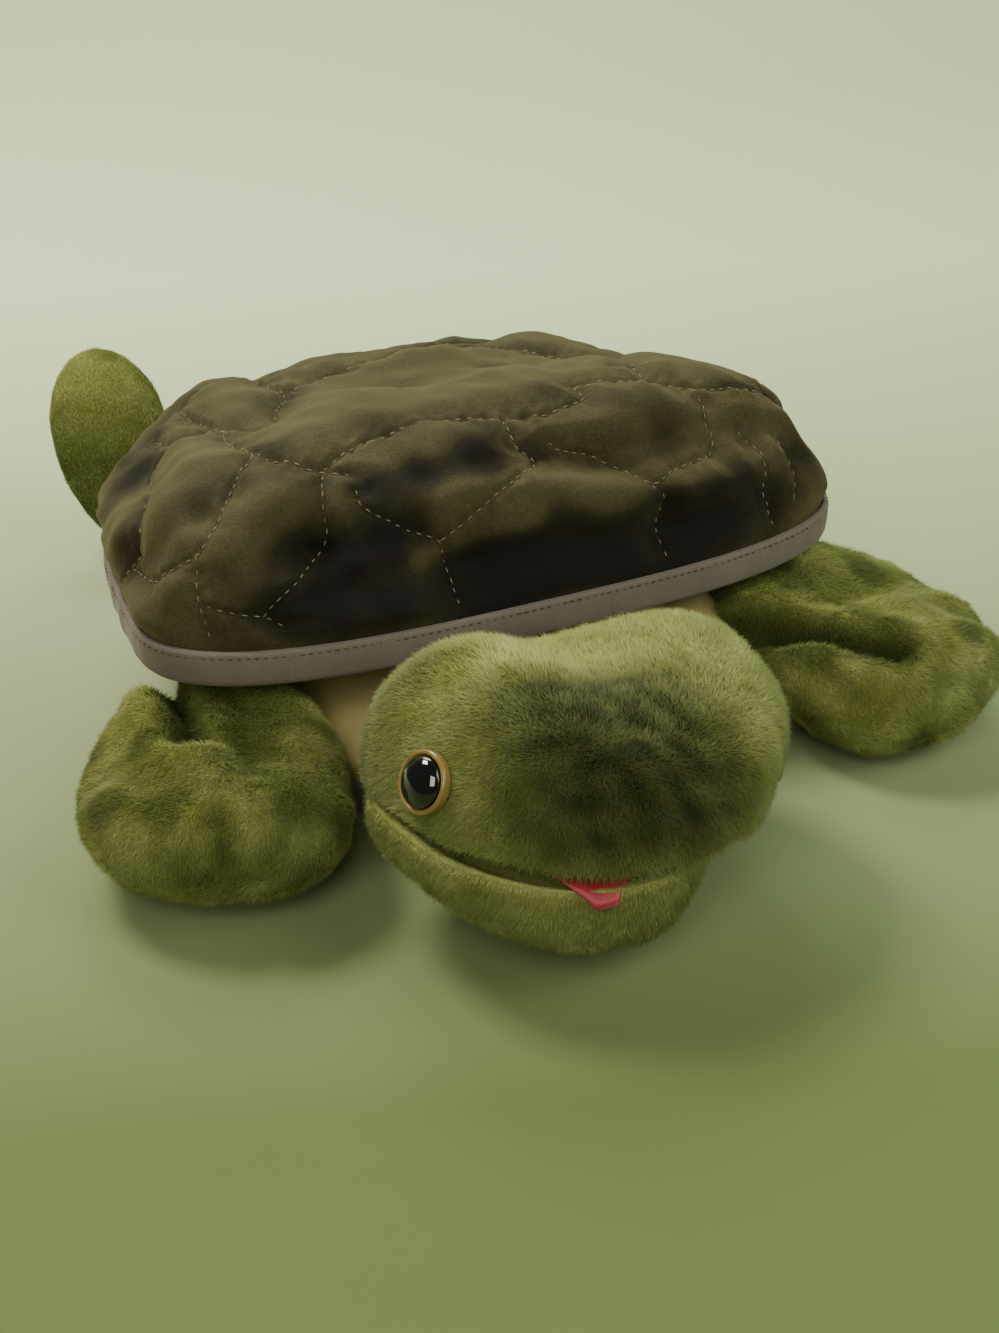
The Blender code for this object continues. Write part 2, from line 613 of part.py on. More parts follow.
def skull_rings(shrink, points, width=HEAD_WIDTH):
    """Rings of the skull from back to nose, all drawn in by shrink, with two brows on top."""
    rings = []
    for place_share, width_share, top_share, bottom_share in HEAD_RING_SHARES:
        y = place_share * (HEAD_HALF.y - shrink) * CAGE_SPARE_SHARE
        half_width = (width / 2 * width_share - shrink) * CAGE_SPARE_SHARE
        rise = ((HEAD_TOP - MOUTH_LEVEL) * top_share - shrink) * CAGE_SPARE_SHARE
        fall = (MOUTH_LEVEL - CHIN_LEVEL) * bottom_share - shrink
        ring = oval(Vector((0.0, y, MOUTH_LEVEL)), X, Z, half_width, rise,
                    fall * CAGE_SPARE_SHARE, HEAD_SQUARENESS_SHARE, points)
        nearness = math.exp(-((y - BROW_BACK) / BROW_LENGTH) ** 2)
        for point in ring:
            if point.z > MOUTH_LEVEL + shrink:
                brow = math.exp(-((abs(point.x) - BROW_SIDE) / BROW_WIDTH) ** 2)
                dip = math.exp(-(point.x / BROW_WIDTH) ** 2)
                point.z += nearness * (BROW_RISE * brow - BROW_DIP * dip)
        rings.append(ring)
    return rings


def under_frame(obj, frame):
    """Hang a piece, built in world metres round its frame's own origin, on that frame."""
    obj.parent = frame
    return obj


def jaw_shift(bm):
    """Move a jaw shape, drawn in the head's frame, to the jaw frame's origin."""
    bmesh.ops.translate(bm, verts=bm.verts, vec=(0.0, -MOUTH_HINGE_BACK, -MOUTH_LEVEL))
    return bm


def mouth_plate(shrink, low, high, width=HEAD_WIDTH):
    """A flat plate across the mouth, of an oval outline drawn in."""
    points = HEAD_RING_POINTS * 2
    ring = []
    for i in range(points):
        turn = 2 * math.pi * i / points
        ring.append((math.cos(turn) * (width / 2 - shrink),
                     math.sin(turn) * (HEAD_HALF.y - shrink)))
    return loft([level_ring(ring, low), level_ring(ring, high)])


FAR = HEAD_WIDTH
UPPER_FACE = MOUTH_LEVEL + MOUTH_GAP / 2
LOWER_FACE = MOUTH_LEVEL - MOUTH_GAP / 2
above = under_frame(guide("above_mouth", box((-FAR, -FAR, UPPER_FACE), (FAR, FAR, FAR * 2))),
                    head_frame)
hollow = under_frame(guide("head_hollow", loft(skull_rings(PLUSH, INNER_RING_POINTS))),
                     head_frame)
subdivide(hollow, 1)
head_skin = under_frame(place("head_skin", loft(skull_rings(0.0, HEAD_RING_POINTS)), plush, PARTS),
                        head_frame)
subdivide(head_skin, 1)
cut(head_skin, hollow)
cut(head_skin, above, "INTERSECT")
plates = UPPER_FACE + MOUTH_LINING + GAP
stuffing_face = plates + MOUTH_BOARD + GAP
above_plates = under_frame(guide("above_plates", box((-FAR, -FAR, stuffing_face),
                                                     (FAR, FAR, FAR * 2))), head_frame)
head_stuffing = under_frame(place(
    "head_stuffing", loft(skull_rings(PLUSH + GAP * 3, INNER_RING_POINTS)), fibre, PARTS),
    head_frame)
subdivide(head_stuffing, 1)
cut(head_stuffing, above_plates, "INTERSECT")
PLATE_INSET = MOUTH_RIM + PLUSH
under_frame(place("upper_mouth_lining", mouth_plate(PLATE_INSET, UPPER_FACE,
                                                    UPPER_FACE + MOUTH_LINING), red, PARTS),
            head_frame)
under_frame(place("upper_mouth_board", mouth_plate(PLATE_INSET + MOUTH_RIM, plates,
                                                   plates + MOUTH_BOARD), board, PARTS),
            head_frame)

jaw_hollow = under_frame(guide("jaw_hollow", jaw_shift(loft(
    skull_rings(JAW_INSET + PLUSH, INNER_RING_POINTS, JAW_WIDTH)))), jaw_frame)
subdivide(jaw_hollow, 1)
below = under_frame(guide("below_mouth", jaw_shift(box((-FAR, -FAR, -FAR),
                                                       (FAR, FAR, LOWER_FACE)))), jaw_frame)
jaw_skin = under_frame(place("jaw_skin", jaw_shift(loft(
    skull_rings(JAW_INSET, HEAD_RING_POINTS, JAW_WIDTH))), plush, PARTS), jaw_frame)
subdivide(jaw_skin, 1)
cut(jaw_skin, jaw_hollow)
cut(jaw_skin, below, "INTERSECT")
jaw_plates = LOWER_FACE - MOUTH_LINING - GAP
jaw_stuffing_face = jaw_plates - MOUTH_BOARD - GAP
below_plates = under_frame(guide("below_plates", jaw_shift(
    box((-FAR, -FAR, -FAR), (FAR, FAR, jaw_stuffing_face)))), jaw_frame)
jaw_stuffing = under_frame(place("jaw_stuffing", jaw_shift(loft(
    skull_rings(JAW_INSET + PLUSH + GAP * 3, INNER_RING_POINTS, JAW_WIDTH))), fibre, PARTS),
    jaw_frame)
subdivide(jaw_stuffing, 1)
cut(jaw_stuffing, below_plates, "INTERSECT")
under_frame(place("lower_mouth_lining", jaw_shift(mouth_plate(
    PLATE_INSET + JAW_INSET, LOWER_FACE - MOUTH_LINING, LOWER_FACE, JAW_WIDTH)), red, PARTS),
    jaw_frame)
under_frame(place("lower_mouth_board", jaw_shift(mouth_plate(
    PLATE_INSET + JAW_INSET + MOUTH_RIM, jaw_plates - MOUTH_BOARD, jaw_plates, JAW_WIDTH)),
    board, PARTS), jaw_frame)

# The tongue lies on the lower lining and its tip hangs over the lip
tongue_back = -HEAD_HALF.y - TONGUE_OUT + TONGUE_LENGTH
tongue_low = LOWER_FACE + GAP
TONGUE_SHARES = ((0.0, 0.62, 0.0), (0.30, 0.86, 0.0), (0.60, 1.0, 0.0), (0.86, 0.76, 0.0),
                 (1.0, 0.22, 1.0))
sections = []
for along_share, width_share, drop_share in TONGUE_SHARES:
    half = TONGUE_WIDTH / 2 * width_share
    y = tongue_back - TONGUE_LENGTH * along_share
    low = tongue_low - TONGUE_DROP * drop_share
    sections.append([Vector((TONGUE_SIDE + x, y, z)) for x, z in (
        (-half, low), (0.0, low), (half, low), (half, low + TONGUE_THICK / 2),
        (0.0, low + TONGUE_THICK), (-half, low + TONGUE_THICK / 2))])
under_frame(place("tongue", jaw_shift(loft(sections)), red, PARTS), jaw_frame)

# Eyes: each sits square to the plush, at the point where its own line meets the skull
probe = bpy.data.objects.new("skull_probe", head_skin.data)
subdivide(probe, 1)
probe.hide_render = True
probe.display_type = "WIRE"
CUTTERS.objects.link(probe)
bpy.context.view_layer.update()


def turned(name, profile, paint, frame, segments):
    """A turned piece: its profile runs down the outer side from the top to the axis."""
    mesh = bpy.data.meshes.new(name)
    verts = [(radius, 0.0, height) for radius, height in profile]
    mesh.from_pydata(verts, [(i, i + 1) for i in range(len(verts) - 1)], [])
    obj = bpy.data.objects.new(name, mesh)
    screw = obj.modifiers.new("Turn", "SCREW")
    screw.steps = segments
    screw.render_steps = segments
    screw.use_merge_vertices = True
    screw.merge_threshold = GAP / 10
    mesh.materials.append(paint)
    PARTS.objects.link(obj)
    return under_frame(obj, frame)


def peg(name, radius, low, high, segments, frame):
    """A round cutter along an eye's own axis."""
    bm = bmesh.new()
    bmesh.ops.create_cone(bm, cap_ends=True, segments=segments, radius1=radius, radius2=radius,
                          depth=high - low)
    bmesh.ops.translate(bm, verts=bm.verts, vec=(0.0, 0.0, (low + high) / 2))
    return under_frame(guide(name, bm), frame)


EYE_SEGMENTS = 18
WASHER_LEVEL = -(EYE_SOCKET + PLUSH + GAP * 4)
for side, side_name in ((-1, "right"), (1, "left")):
    aim = Vector((side * EYE_SIDE, -EYE_AHEAD, EYE_LEVEL))
    inward = Vector((0.0, 0.0, (MOUTH_LEVEL + HEAD_TOP) / 2 - MOUTH_GAPE)) - aim
    start = aim - inward.normalized() * HEAD_HALF.x
    hit, spot, normal, _ = probe.ray_cast(start, inward.normalized(), distance=FAR)
    eye = bpy.data.objects.new("eye_frame_" + side_name, None)
    eye.parent = head_frame
    eye.location = spot - normal * EYE_SOCKET
    eye.rotation_euler = normal.to_track_quat("Z", "Y").to_euler()
    PARTS.objects.link(eye)
    radius = EYE_DIAMETER / 2
    seat = PUPIL_DIAMETER / 2 + GAP
    lip = EYE_RIM_HEIGHT + EYE_SOCKET
    turned("eye_cup_" + side_name, (
        (0.0, lip - PUPIL_SEAT), (seat, lip - PUPIL_SEAT), (seat, lip),
        (radius - PUPIL_SEAT, lip), (radius, lip - PUPIL_SEAT), (radius, GAP),
        (EYE_SHANK_DIAMETER / 2, GAP), (EYE_SHANK_DIAMETER / 2, -EYE_SHANK_LENGTH),
        (0.0, -EYE_SHANK_LENGTH)), amber, eye, EYE_SEGMENTS)
    floor = lip - PUPIL_SEAT + GAP
    dome = [(PUPIL_DIAMETER / 2 * math.cos(turn), floor + PUPIL_SEAT
             + (PUPIL_HEIGHT - PUPIL_SEAT) * math.sin(turn))
            for turn in np.linspace(math.pi / 2, 0.0, 6)]
    dome[0] = (0.0, dome[0][1])
    turned("eye_pupil_" + side_name, (*dome, (PUPIL_DIAMETER / 2, floor), (0.0, floor)),
           black, eye, EYE_SEGMENTS)
    hole = EYE_SHANK_DIAMETER / 2 + GAP
    turned("eye_washer_" + side_name, (
        (hole, WASHER_LEVEL), (EYE_WASHER_DIAMETER / 2, WASHER_LEVEL),
        (EYE_WASHER_DIAMETER / 2, WASHER_LEVEL - EYE_WASHER_THICK),
        (hole, WASHER_LEVEL - EYE_WASHER_THICK), (hole, WASHER_LEVEL)), white, eye, EYE_SEGMENTS)
    cut(head_skin, peg("eye_seat_" + side_name, radius + GAP, 0.0, CUT_OVER, EYE_SEGMENTS, eye))
    cut(head_skin, peg("shank_hole_" + side_name, hole, -CUT_OVER, CUT_OVER / 2, EYE_SEGMENTS,
                       eye))
    cut(head_stuffing, peg("washer_pocket_" + side_name, EYE_WASHER_DIAMETER / 2 + GAP,
                           -EYE_SHANK_LENGTH - GAP, CUT_OVER, EYE_SEGMENTS, eye))

# The neck sleeve: a short plush tube from the belly's front, shaped to the head and jaw
neck_back = -(BELLY_AHEAD + BELLY_TAPE_OUT + GAP)
neck_rings = []
for place_share in (0.0, 0.5, 1.0):
    centre = Vector((HEAD_SIDE, neck_back - NECK_LENGTH * place_share, NECK_LEVEL))
    neck_rings.append(oval(centre, X, Z, NECK_WIDTH / 2, NECK_HEIGHT / 2, NECK_HEIGHT / 2, 1.0,
                           NECK_POINTS))
neck_bore_rings = []
for place_share in (-0.5, 1.5):
    centre = Vector((HEAD_SIDE, neck_back - NECK_LENGTH * place_share, NECK_LEVEL))
    neck_bore_rings.append(oval(centre, X, Z, NECK_WIDTH / 2 - NECK_WALL,
                                NECK_HEIGHT / 2 - NECK_WALL, NECK_HEIGHT / 2 - NECK_WALL, 1.0,
                                NECK_POINTS))
neck = place("neck_sleeve", loft(neck_rings), plush, PARTS)
cut(neck, guide("neck_bore", loft(neck_bore_rings)))
head_room = under_frame(guide("head_room", loft(skull_rings(-GAP * 2, HEAD_RING_POINTS))),
                        head_frame)
subdivide(head_room, 1)
cut(neck, head_room)
jaw_room = under_frame(guide("jaw_room", jaw_shift(loft(
    skull_rings(JAW_INSET - GAP * 2, HEAD_RING_POINTS, JAW_WIDTH)))), jaw_frame)
subdivide(jaw_room, 1)
cut(neck, jaw_room)


def knuckle(name, frame, radius, low, high):
    """The rounded seam end that a limb turns on: a roll along its frame's Z."""
    bm = bmesh.new()
    bmesh.ops.create_cone(bm, cap_ends=True, segments=KNUCKLE_SEGMENTS, radius1=radius,
                          radius2=radius, depth=high - low)
    bmesh.ops.translate(bm, verts=bm.verts, vec=(0.0, 0.0, (low + high) / 2))
    return under_frame(guide(name, bm), frame)


def limb(name, frame, rings_for, roll):
    """A plush skin, open at the root where it is sewn on, and the stuffing inside it.

    rings_for(shrink, run_out, points) gives the limb's cage rings drawn in by shrink, with
    its first ring moved out of the root by run_out. The roll is its knuckle.
    """
    inner = FLIPPER_INNER_POINTS
    bore = under_frame(guide(name + "_bore", loft(rings_for(PLUSH, CUT_OVER, inner))), frame)
    subdivide(bore, 1)
    skin = under_frame(place(name + "_skin", loft(rings_for(0.0, 0.0, FLIPPER_RING_POINTS)),
                             plush, PARTS), frame)
    subdivide(skin, 1)
    cut(skin, roll, "UNION")
    cut(skin, bore)
    stuffing = under_frame(place(name + "_stuffing", loft(rings_for(PLUSH + GAP * 3, 0.0, inner)),
                                 fibre, PARTS), frame)
    subdivide(stuffing, 1)


def front_rings(shrink, run_out, points, side, length):
    """Cage rings of a front mitt, along its own -Y from behind the shoulder to the tip."""
    middle = Vector((0.0, 0.0, (FRONT_TOP + FRONT_BOTTOM) / 2))
    half_height = (FRONT_TOP - FRONT_BOTTOM) / 2
    rings = []
    for number, shares in enumerate(FRONT_RING_SHARES):
        place_share, width_share, height_share, lean_share = shares
        lean = X * side * FRONT_WIDTH / 2 * lean_share
        y = -place_share * (length - shrink) + (run_out if number == 0 else 0.0)
        fold = FRONT_FOLD if number == FRONT_FOLD_RING else 0.0
        rings.append(oval(middle + Y * y + lean, X, Z, FRONT_WIDTH / 2 * width_share - shrink,
                          half_height * height_share - shrink - fold,
                          half_height * height_share - shrink, FLIPPER_SQUARENESS_SHARE,
                          points))
    return rings


# Front flippers
for side, side_name, splay, length in (
        (-1, "right", FRONT_SPLAY_RIGHT, FRONT_LENGTH_RIGHT),
        (1, "left", FRONT_SPLAY_LEFT, FRONT_LENGTH_LEFT)):
    wall = half_width_at(-FRONT_SHOULDER_AHEAD, BELLY_WIDTH / 2, *BELLY_EGG) + BELLY_TAPE_OUT
    shoulder = bpy.data.objects.new("shoulder_frame_" + side_name, None)
    shoulder.location = (side * (wall + GAP + FRONT_ROOT_RADIUS), -FRONT_SHOULDER_AHEAD, 0.0)
    shoulder.rotation_euler = (0.0, 0.0, side * splay)
    PARTS.objects.link(shoulder)
    limb("front_flipper_" + side_name, shoulder,
         lambda *cage, s=side, l=length: front_rings(*cage, s, l),
         knuckle("front_knuckle_" + side_name, shoulder, FRONT_ROOT_RADIUS, FRONT_ROOT_LOW,
                 FRONT_ROOT_HIGH))


def leaf_rings(shrink, run_out, points, side, rise, back):
    """Cage rings of a rear leaf: level out from under the rim, then up or down to the tip.

    A ring drawn in by shrink stops before the thin tip, where only the skin is left.
    """
    out = Vector((side * math.sin(REAR_BEARING), math.cos(REAR_BEARING), 0.0))
    level = Vector((side * math.sin(back), math.cos(back), 0.0))
    beyond = level * math.cos(rise) + Z * math.sin(rise)
    run = REAR_LENGTH * REAR_RUN_SHARE
    rings = []
    shares = REAR_RING_SHARES[:-1] if shrink else REAR_RING_SHARES
    for number, (place_share, width_share, thick_share) in enumerate(shares):
        along = place_share * (REAR_LENGTH - shrink) - (run_out if number == 0 else 0.0)
        centre = out * min(along, run) + beyond * max(along - run, 0.0)
        turn = min(max((along - run / 2) / run, 0.0), 1.0)
        heading = (out * (1 - turn) + beyond * turn).normalized()
        across = Vector((heading.y, -heading.x, 0.0)).normalized()
        rings.append(oval(centre, across, across.cross(heading),
                          REAR_WIDTH / 2 * width_share - shrink,
                          REAR_THICK / 2 * thick_share - shrink,
                          REAR_THICK / 2 * thick_share - shrink, FLIPPER_SQUARENESS_SHARE,
                          points))
    return rings


# Rear flippers: the hip is where the belly's side faces along the leaf's bearing
tape_half = BELLY_WIDTH / 2 + BELLY_TAPE_OUT
tape_reach = BELLY_BEHIND + BELLY_WIDEST + BELLY_TAPE_OUT
power = BELLY_REAR_SQUARENESS_SHARE
turn = math.atan((math.tan(REAR_BEARING) * tape_half / tape_reach) ** (power / (2 * (power - 1))))
for side, side_name, rise, back in ((-1, "right", REAR_RISE_RIGHT, REAR_BACK_RIGHT),
                                    (1, "left", REAR_RISE_LEFT, REAR_BACK_LEFT)):
    reach = GAP + REAR_ROOT_RADIUS - FACET_SLACK
    hip = bpy.data.objects.new("hip_frame_" + side_name, None)
    hip.location = (
        side * (tape_half * math.sin(turn) ** (2 / power) + math.sin(REAR_BEARING) * reach),
        tape_reach * math.cos(turn) ** (2 / power) - BELLY_WIDEST
        + math.cos(REAR_BEARING) * reach,
        REAR_HIP_LEVEL)
    PARTS.objects.link(hip)
    pin = bpy.data.objects.new("hip_pin_" + side_name, None)
    pin.parent = hip
    pin.rotation_euler = (math.pi / 2, 0.0, side * (math.pi / 2 - REAR_BEARING))
    PARTS.objects.link(pin)
    limb("rear_flipper_" + side_name, hip,
         lambda *cage, s=side, r=rise, b=back: leaf_rings(*cage, s, r, b),
         knuckle("rear_knuckle_" + side_name, pin, REAR_ROOT_RADIUS, -REAR_ROOT_WIDTH / 2,
                 REAR_ROOT_WIDTH / 2))

# The tail, on an upright seam of its own
dock = bpy.data.objects.new("tail_frame", None)
dock.location = (0.0, BELLY_BEHIND + BELLY_TAPE_OUT + GAP + TAIL_ROOT_RADIUS, TAIL_LEVEL)
PARTS.objects.link(dock)
droop = bpy.data.objects.new("tail_droop", None)
droop.parent = dock
droop.rotation_euler = (-TAIL_DROOP, 0.0, 0.0)
PARTS.objects.link(droop)
tail = under_frame(place("tail", loft([
    oval(Y * TAIL_LENGTH * place_share, X, Z, TAIL_WIDTH / 2 * size_share,
         TAIL_THICK / 2 * size_share, TAIL_THICK / 2 * size_share, 1.0, FLIPPER_INNER_POINTS)
    for place_share, size_share in TAIL_RING_SHARES]), plush, PARTS), droop)
subdivide(tail, 1)
cut(tail, knuckle("tail_knuckle", dock, TAIL_ROOT_RADIUS, -TAIL_ROOT_HEIGHT / 2,
                  TAIL_ROOT_HEIGHT / 2), "UNION")
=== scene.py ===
import math

import bpy
import numpy as np
from mathutils import Matrix, Vector


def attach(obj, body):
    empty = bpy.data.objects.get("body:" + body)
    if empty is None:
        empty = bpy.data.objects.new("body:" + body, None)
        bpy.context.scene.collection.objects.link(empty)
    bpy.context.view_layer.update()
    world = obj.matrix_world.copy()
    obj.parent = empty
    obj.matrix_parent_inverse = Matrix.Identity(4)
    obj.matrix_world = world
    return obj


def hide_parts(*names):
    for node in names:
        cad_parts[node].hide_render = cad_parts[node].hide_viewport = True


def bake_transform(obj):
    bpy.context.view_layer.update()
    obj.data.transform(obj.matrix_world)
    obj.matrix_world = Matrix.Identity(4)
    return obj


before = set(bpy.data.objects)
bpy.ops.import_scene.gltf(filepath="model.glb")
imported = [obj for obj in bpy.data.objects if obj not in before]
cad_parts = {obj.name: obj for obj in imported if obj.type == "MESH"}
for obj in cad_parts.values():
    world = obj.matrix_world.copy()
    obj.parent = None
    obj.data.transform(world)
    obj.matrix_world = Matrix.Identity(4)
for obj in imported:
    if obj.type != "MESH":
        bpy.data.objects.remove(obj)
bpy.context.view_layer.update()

# The setting: the toy sits on a seamless sweep of pale green card, in soft light from above
# and behind its right shoulder. The camera stands in front of it and looks down.
MM = 0.001
CAMERA_BEARING = math.radians(-26)
CAMERA_RISE = math.radians(30)
CAMERA_DISTANCE = 0.650
CAMERA_AIM = Vector((-0.022, -0.1197, 0.045))
CAMERA_LENS = 52.15
CAMERA_SENSOR = 36             # its height, in millimetres
CAMERA_NEAR = 0.01
CARD_GREEN = "6c7e4f"          # near the camera
CARD_FAR = "eaf9cc"            # at the back, where the light bleaches it
FLOOR_SIZE = 3.0
SKY_STRENGTH = 0.12


def linear(code):
    """An sRGB hex code as linear colour: c / 12.92 up to 0.04045, else ((c + 0.055) / 1.055)
    to the power 2.4, and alpha 1."""
    parts = np.array([int(code[i:i + 2], 16) for i in (0, 2, 4)]) / 255
    return (*np.where(parts <= 0.04045, parts / 12.92, ((parts + 0.055) / 1.055) ** 2.4), 1.0)


def node(tree, kind, inputs, **settings):
    """Adds one shader node. Settings are its properties, and each input is a value or an
    output to link."""
    made = tree.nodes.new("ShaderNode" + kind)
    for name, value in settings.items():
        setattr(made, name, value)
    for name, value in inputs.items():
        if isinstance(value, bpy.types.NodeSocket):
            tree.links.new(value, made.inputs[name])
        else:
            made.inputs[name].default_value = value
    return made


def material(name, **surface):
    """A new material: its node tree and its Principled shader, whose own sockets take the
    values of surface, an underscore standing for a space."""
    made = bpy.data.materials.new(name)
    made.use_nodes = True
    shader = made.node_tree.nodes["Principled BSDF"]
    for socket, value in surface.items():
        shader.inputs[socket.replace("_", " ")].default_value = value
    return made, made.node_tree, shader


def noise(tree, size, detail=2.0, roughness=0.5):
    """Noise in the object's own coordinates, in patches about size across."""
    coords = node(tree, "TexCoord", {})
    return node(tree, "TexNoise", {"Vector": coords.outputs["Object"], "Scale": 1 / size,
                                   "Detail": detail, "Roughness": roughness}).outputs["Fac"]


def mixed(tree, share, low, high, kind="MIX"):
    """Two colours or outputs, mixed by a share or laid over each other."""
    return node(tree, "MixRGB", {"Fac": share, "Color1": low, "Color2": high},
                blend_type=kind).outputs["Color"]


def dimpled(tree, shader, height, strength, depth):
    """Fine relief on a surface, from the output of a noise."""
    bump = node(tree, "Bump", {"Height": height, "Strength": strength, "Distance": depth})
    tree.links.new(bump.outputs["Normal"], shader.inputs["Normal"])


def mottled(name, low, high, size, detail=2.0, grain=None, **surface):
    """A material of two tones in patches of one size. A grain is a finer noise's size and
    detail, its share over the tones, and the strength and depth of its relief."""
    made, tree, shader = material(name, **surface)
    colour = mixed(tree, noise(tree, size, detail), linear(low), linear(high))
    if grain:
        fine = noise(tree, *grain[:2])
        if grain[2]:
            colour = mixed(tree, grain[2], colour, fine, "OVERLAY")
        dimpled(tree, shader, fine, *grain[3:])
    tree.links.new(colour, shader.inputs["Base Color"])
    return made


def piece(name, points, faces, paint, **tints):
    """A mesh object from an array of points and arrays of triangles or quads. Faces are
    turned outwards by the sign of the volume, the sum of a . (b x c) / 6 over the faces."""
    points = np.asarray(points, float)
    blocks = [np.asarray(block) for block in faces]
    volume = 0.0
    for block in blocks:
        for k in range(1, block.shape[1] - 1):
            a, b, c = points[block[:, 0]], points[block[:, k]], points[block[:, k + 1]]
            volume += np.einsum("ij,ij->", a, np.cross(b, c))
    if volume < 0:
        blocks = [block[:, ::-1] for block in blocks]
    mesh = bpy.data.meshes.new(name)
    mesh.vertices.add(len(points))
    mesh.vertices.foreach_set("co", points.astype(np.float32).ravel())
    sizes = np.concatenate([np.full(len(block), block.shape[1]) for block in blocks])
    mesh.loops.add(int(sizes.sum()))
    mesh.loops.foreach_set("vertex_index",
                           np.concatenate([block.ravel() for block in blocks]).astype(np.int32))
    mesh.polygons.add(len(sizes))
    mesh.polygons.foreach_set("loop_start",
                              (np.cumsum(sizes) - sizes).astype(np.int32))
    mesh.update(calc_edges=True)
    mesh.shade_smooth()
    for tint, values in tints.items():
        values = np.asarray(values, np.float32)
        if values.ndim == 1:
            mesh.attributes.new(tint, "FLOAT", "POINT").data.foreach_set("value", values)
        else:
            colours = np.ones((len(points), 4), np.float32)
            colours[:, :3] = values
            mesh.attributes.new(tint, "FLOAT_COLOR", "POINT").data.foreach_set(
                "color", colours.ravel())
    mesh.materials.append(paint)
    made = bpy.data.objects.new(name, mesh)
    bpy.context.scene.collection.objects.link(made)
    return made


back = Vector((math.sin(CAMERA_BEARING) * math.cos(CAMERA_RISE),
               -math.cos(CAMERA_BEARING) * math.cos(CAMERA_RISE), math.sin(CAMERA_RISE)))
lens = bpy.data.cameras.new("camera")
lens.sensor_fit = "VERTICAL"
lens.sensor_height = CAMERA_SENSOR
lens.lens = CAMERA_LENS
lens.clip_start = CAMERA_NEAR
camera = bpy.data.objects.new("camera", lens)
camera.location = CAMERA_AIM + back * CAMERA_DISTANCE
camera.rotation_euler = back.to_track_quat("Z", "Y").to_euler()
bpy.context.scene.collection.objects.link(camera)
bpy.context.scene.camera = camera

card, tree, shader = material("matt card", Base_Color=linear(CARD_GREEN), Roughness=0.9,
                              Specular_IOR_Level=0.2)
mottle = mixed(tree, noise(tree, 1 / 9, 3.0), linear("6c7a46"), linear(CARD_GREEN))
# Painted light: the card is painted from CARD_GREEN near the camera to the paler CARD_FAR at the
# back, where the light falls on it.
slope = node(tree, "VectorMath", {0: node(tree, "TexCoord", {}).outputs["Object"],
                                  1: (0.35, 1.0, 0.0)}, operation="DOT_PRODUCT")
painted_light_share = node(tree, "MapRange", {"Value": slope.outputs["Value"], "From Min": -0.30,
                               "From Max": 0.45})
tree.links.new(mixed(tree, painted_light_share.outputs["Result"], mottle, linear(CARD_FAR)),
               shader.inputs["Base Color"])
# The card runs level under the toy and sweeps up behind it in a quarter turn.
SWEEP_STARTS = 0.9
SWEEP_RADIUS = 0.7
turn = np.linspace(0, math.pi / 2, 24)
run = np.concatenate([[-FLOOR_SIZE], SWEEP_STARTS + SWEEP_RADIUS * np.sin(turn),
                      [SWEEP_STARTS + SWEEP_RADIUS]])
rise = np.concatenate([[0], SWEEP_RADIUS * (1 - np.cos(turn)), [FLOOR_SIZE]])
across = np.array([-FLOOR_SIZE, FLOOR_SIZE])
card_points = np.stack([np.repeat(across, len(run)), np.tile(run, 2), np.tile(rise, 2)], 1)
cos_b, sin_b = math.cos(CAMERA_BEARING), math.sin(CAMERA_BEARING)
card_points[:, :2] = card_points[:, :2] @ np.array([[cos_b, sin_b], [-sin_b, cos_b]])
step = np.arange(len(run) - 1)
card_faces = np.stack([step, step + 1, step + 1 + len(run), step + len(run)], 1)[:, ::-1]
floor = piece("card_sweep", card_points, [card_faces], card)

# name, place, size, strength, colour
LAMPS = (("window_light", (-0.46, 0.50, 1.15), 0.42, 14.5, "fff6e4"),
         ("fill_light", (0.9, -1.0, 1.1), 1.2, 14.0, "f3f6e8"),
         ("front_light", (-0.8, -1.1, 1.0), 0.8, 12.0, "fdf8e6"),
         ("back_light", (0.35, 1.5, 1.5), 1.0, 24.0, "ecf7f0"))
for name, place, size, strength, colour in LAMPS:
    lamp = bpy.data.lights.new(name, "AREA")
    lamp.energy = strength
    lamp.size = size
    lamp.color = linear(colour)[:3]
    stand = bpy.data.objects.new(name, lamp)
    stand.location = place
    stand.rotation_euler = (Vector(place) - CAMERA_AIM).to_track_quat("Z", "Y").to_euler()
    bpy.context.scene.collection.objects.link(stand)
world = bpy.data.worlds.new("room")
world.use_nodes = True
sky = world.node_tree.nodes["Background"].inputs
sky["Color"].default_value = linear("dfe6d2")
sky["Strength"].default_value = SKY_STRENGTH
bpy.context.scene.world = world

# The quilted shell: olive-brown velour over thin wadding, stitched through along the edges
# of its scutes in cream thread, and slack, so that the patches swell and the crown folds.
SHELL_HALF_WIDTH = 135 * MM
SHELL_AHEAD = 117 * MM
SHELL_BEHIND = 100 * MM
SHELL_WIDEST = 62 * MM
SHELL_CENTRE = 31 * MM
SHELL_POWERS = 3.0, 2.2        # of its outline, ahead of its widest line and behind it
COLLAR_FOOT = 52.6 * MM
COLLAR_TOP = 63.8 * MM
DOME_HEIGHT = 56 * MM
DOME_STEEPNESS = 0.55
DOME_PLACES = np.array([-1.0, -0.60, -0.15, 0.45, 1.0])
DOME_RISES = np.array([0.84, 1.0, 0.82, 0.66, 0.36])
VALLEY_DEPTH = 7 * MM
VALLEY_PLACE = -12 * MM
VALLEY_WIDTH = 20 * MM
# A crease pushes the front wall back, left of its middle: push, level and half height
CREASE_PUSH = 5 * MM
CREASE_LEVEL = 0.50
CREASE_HALF = 0.11
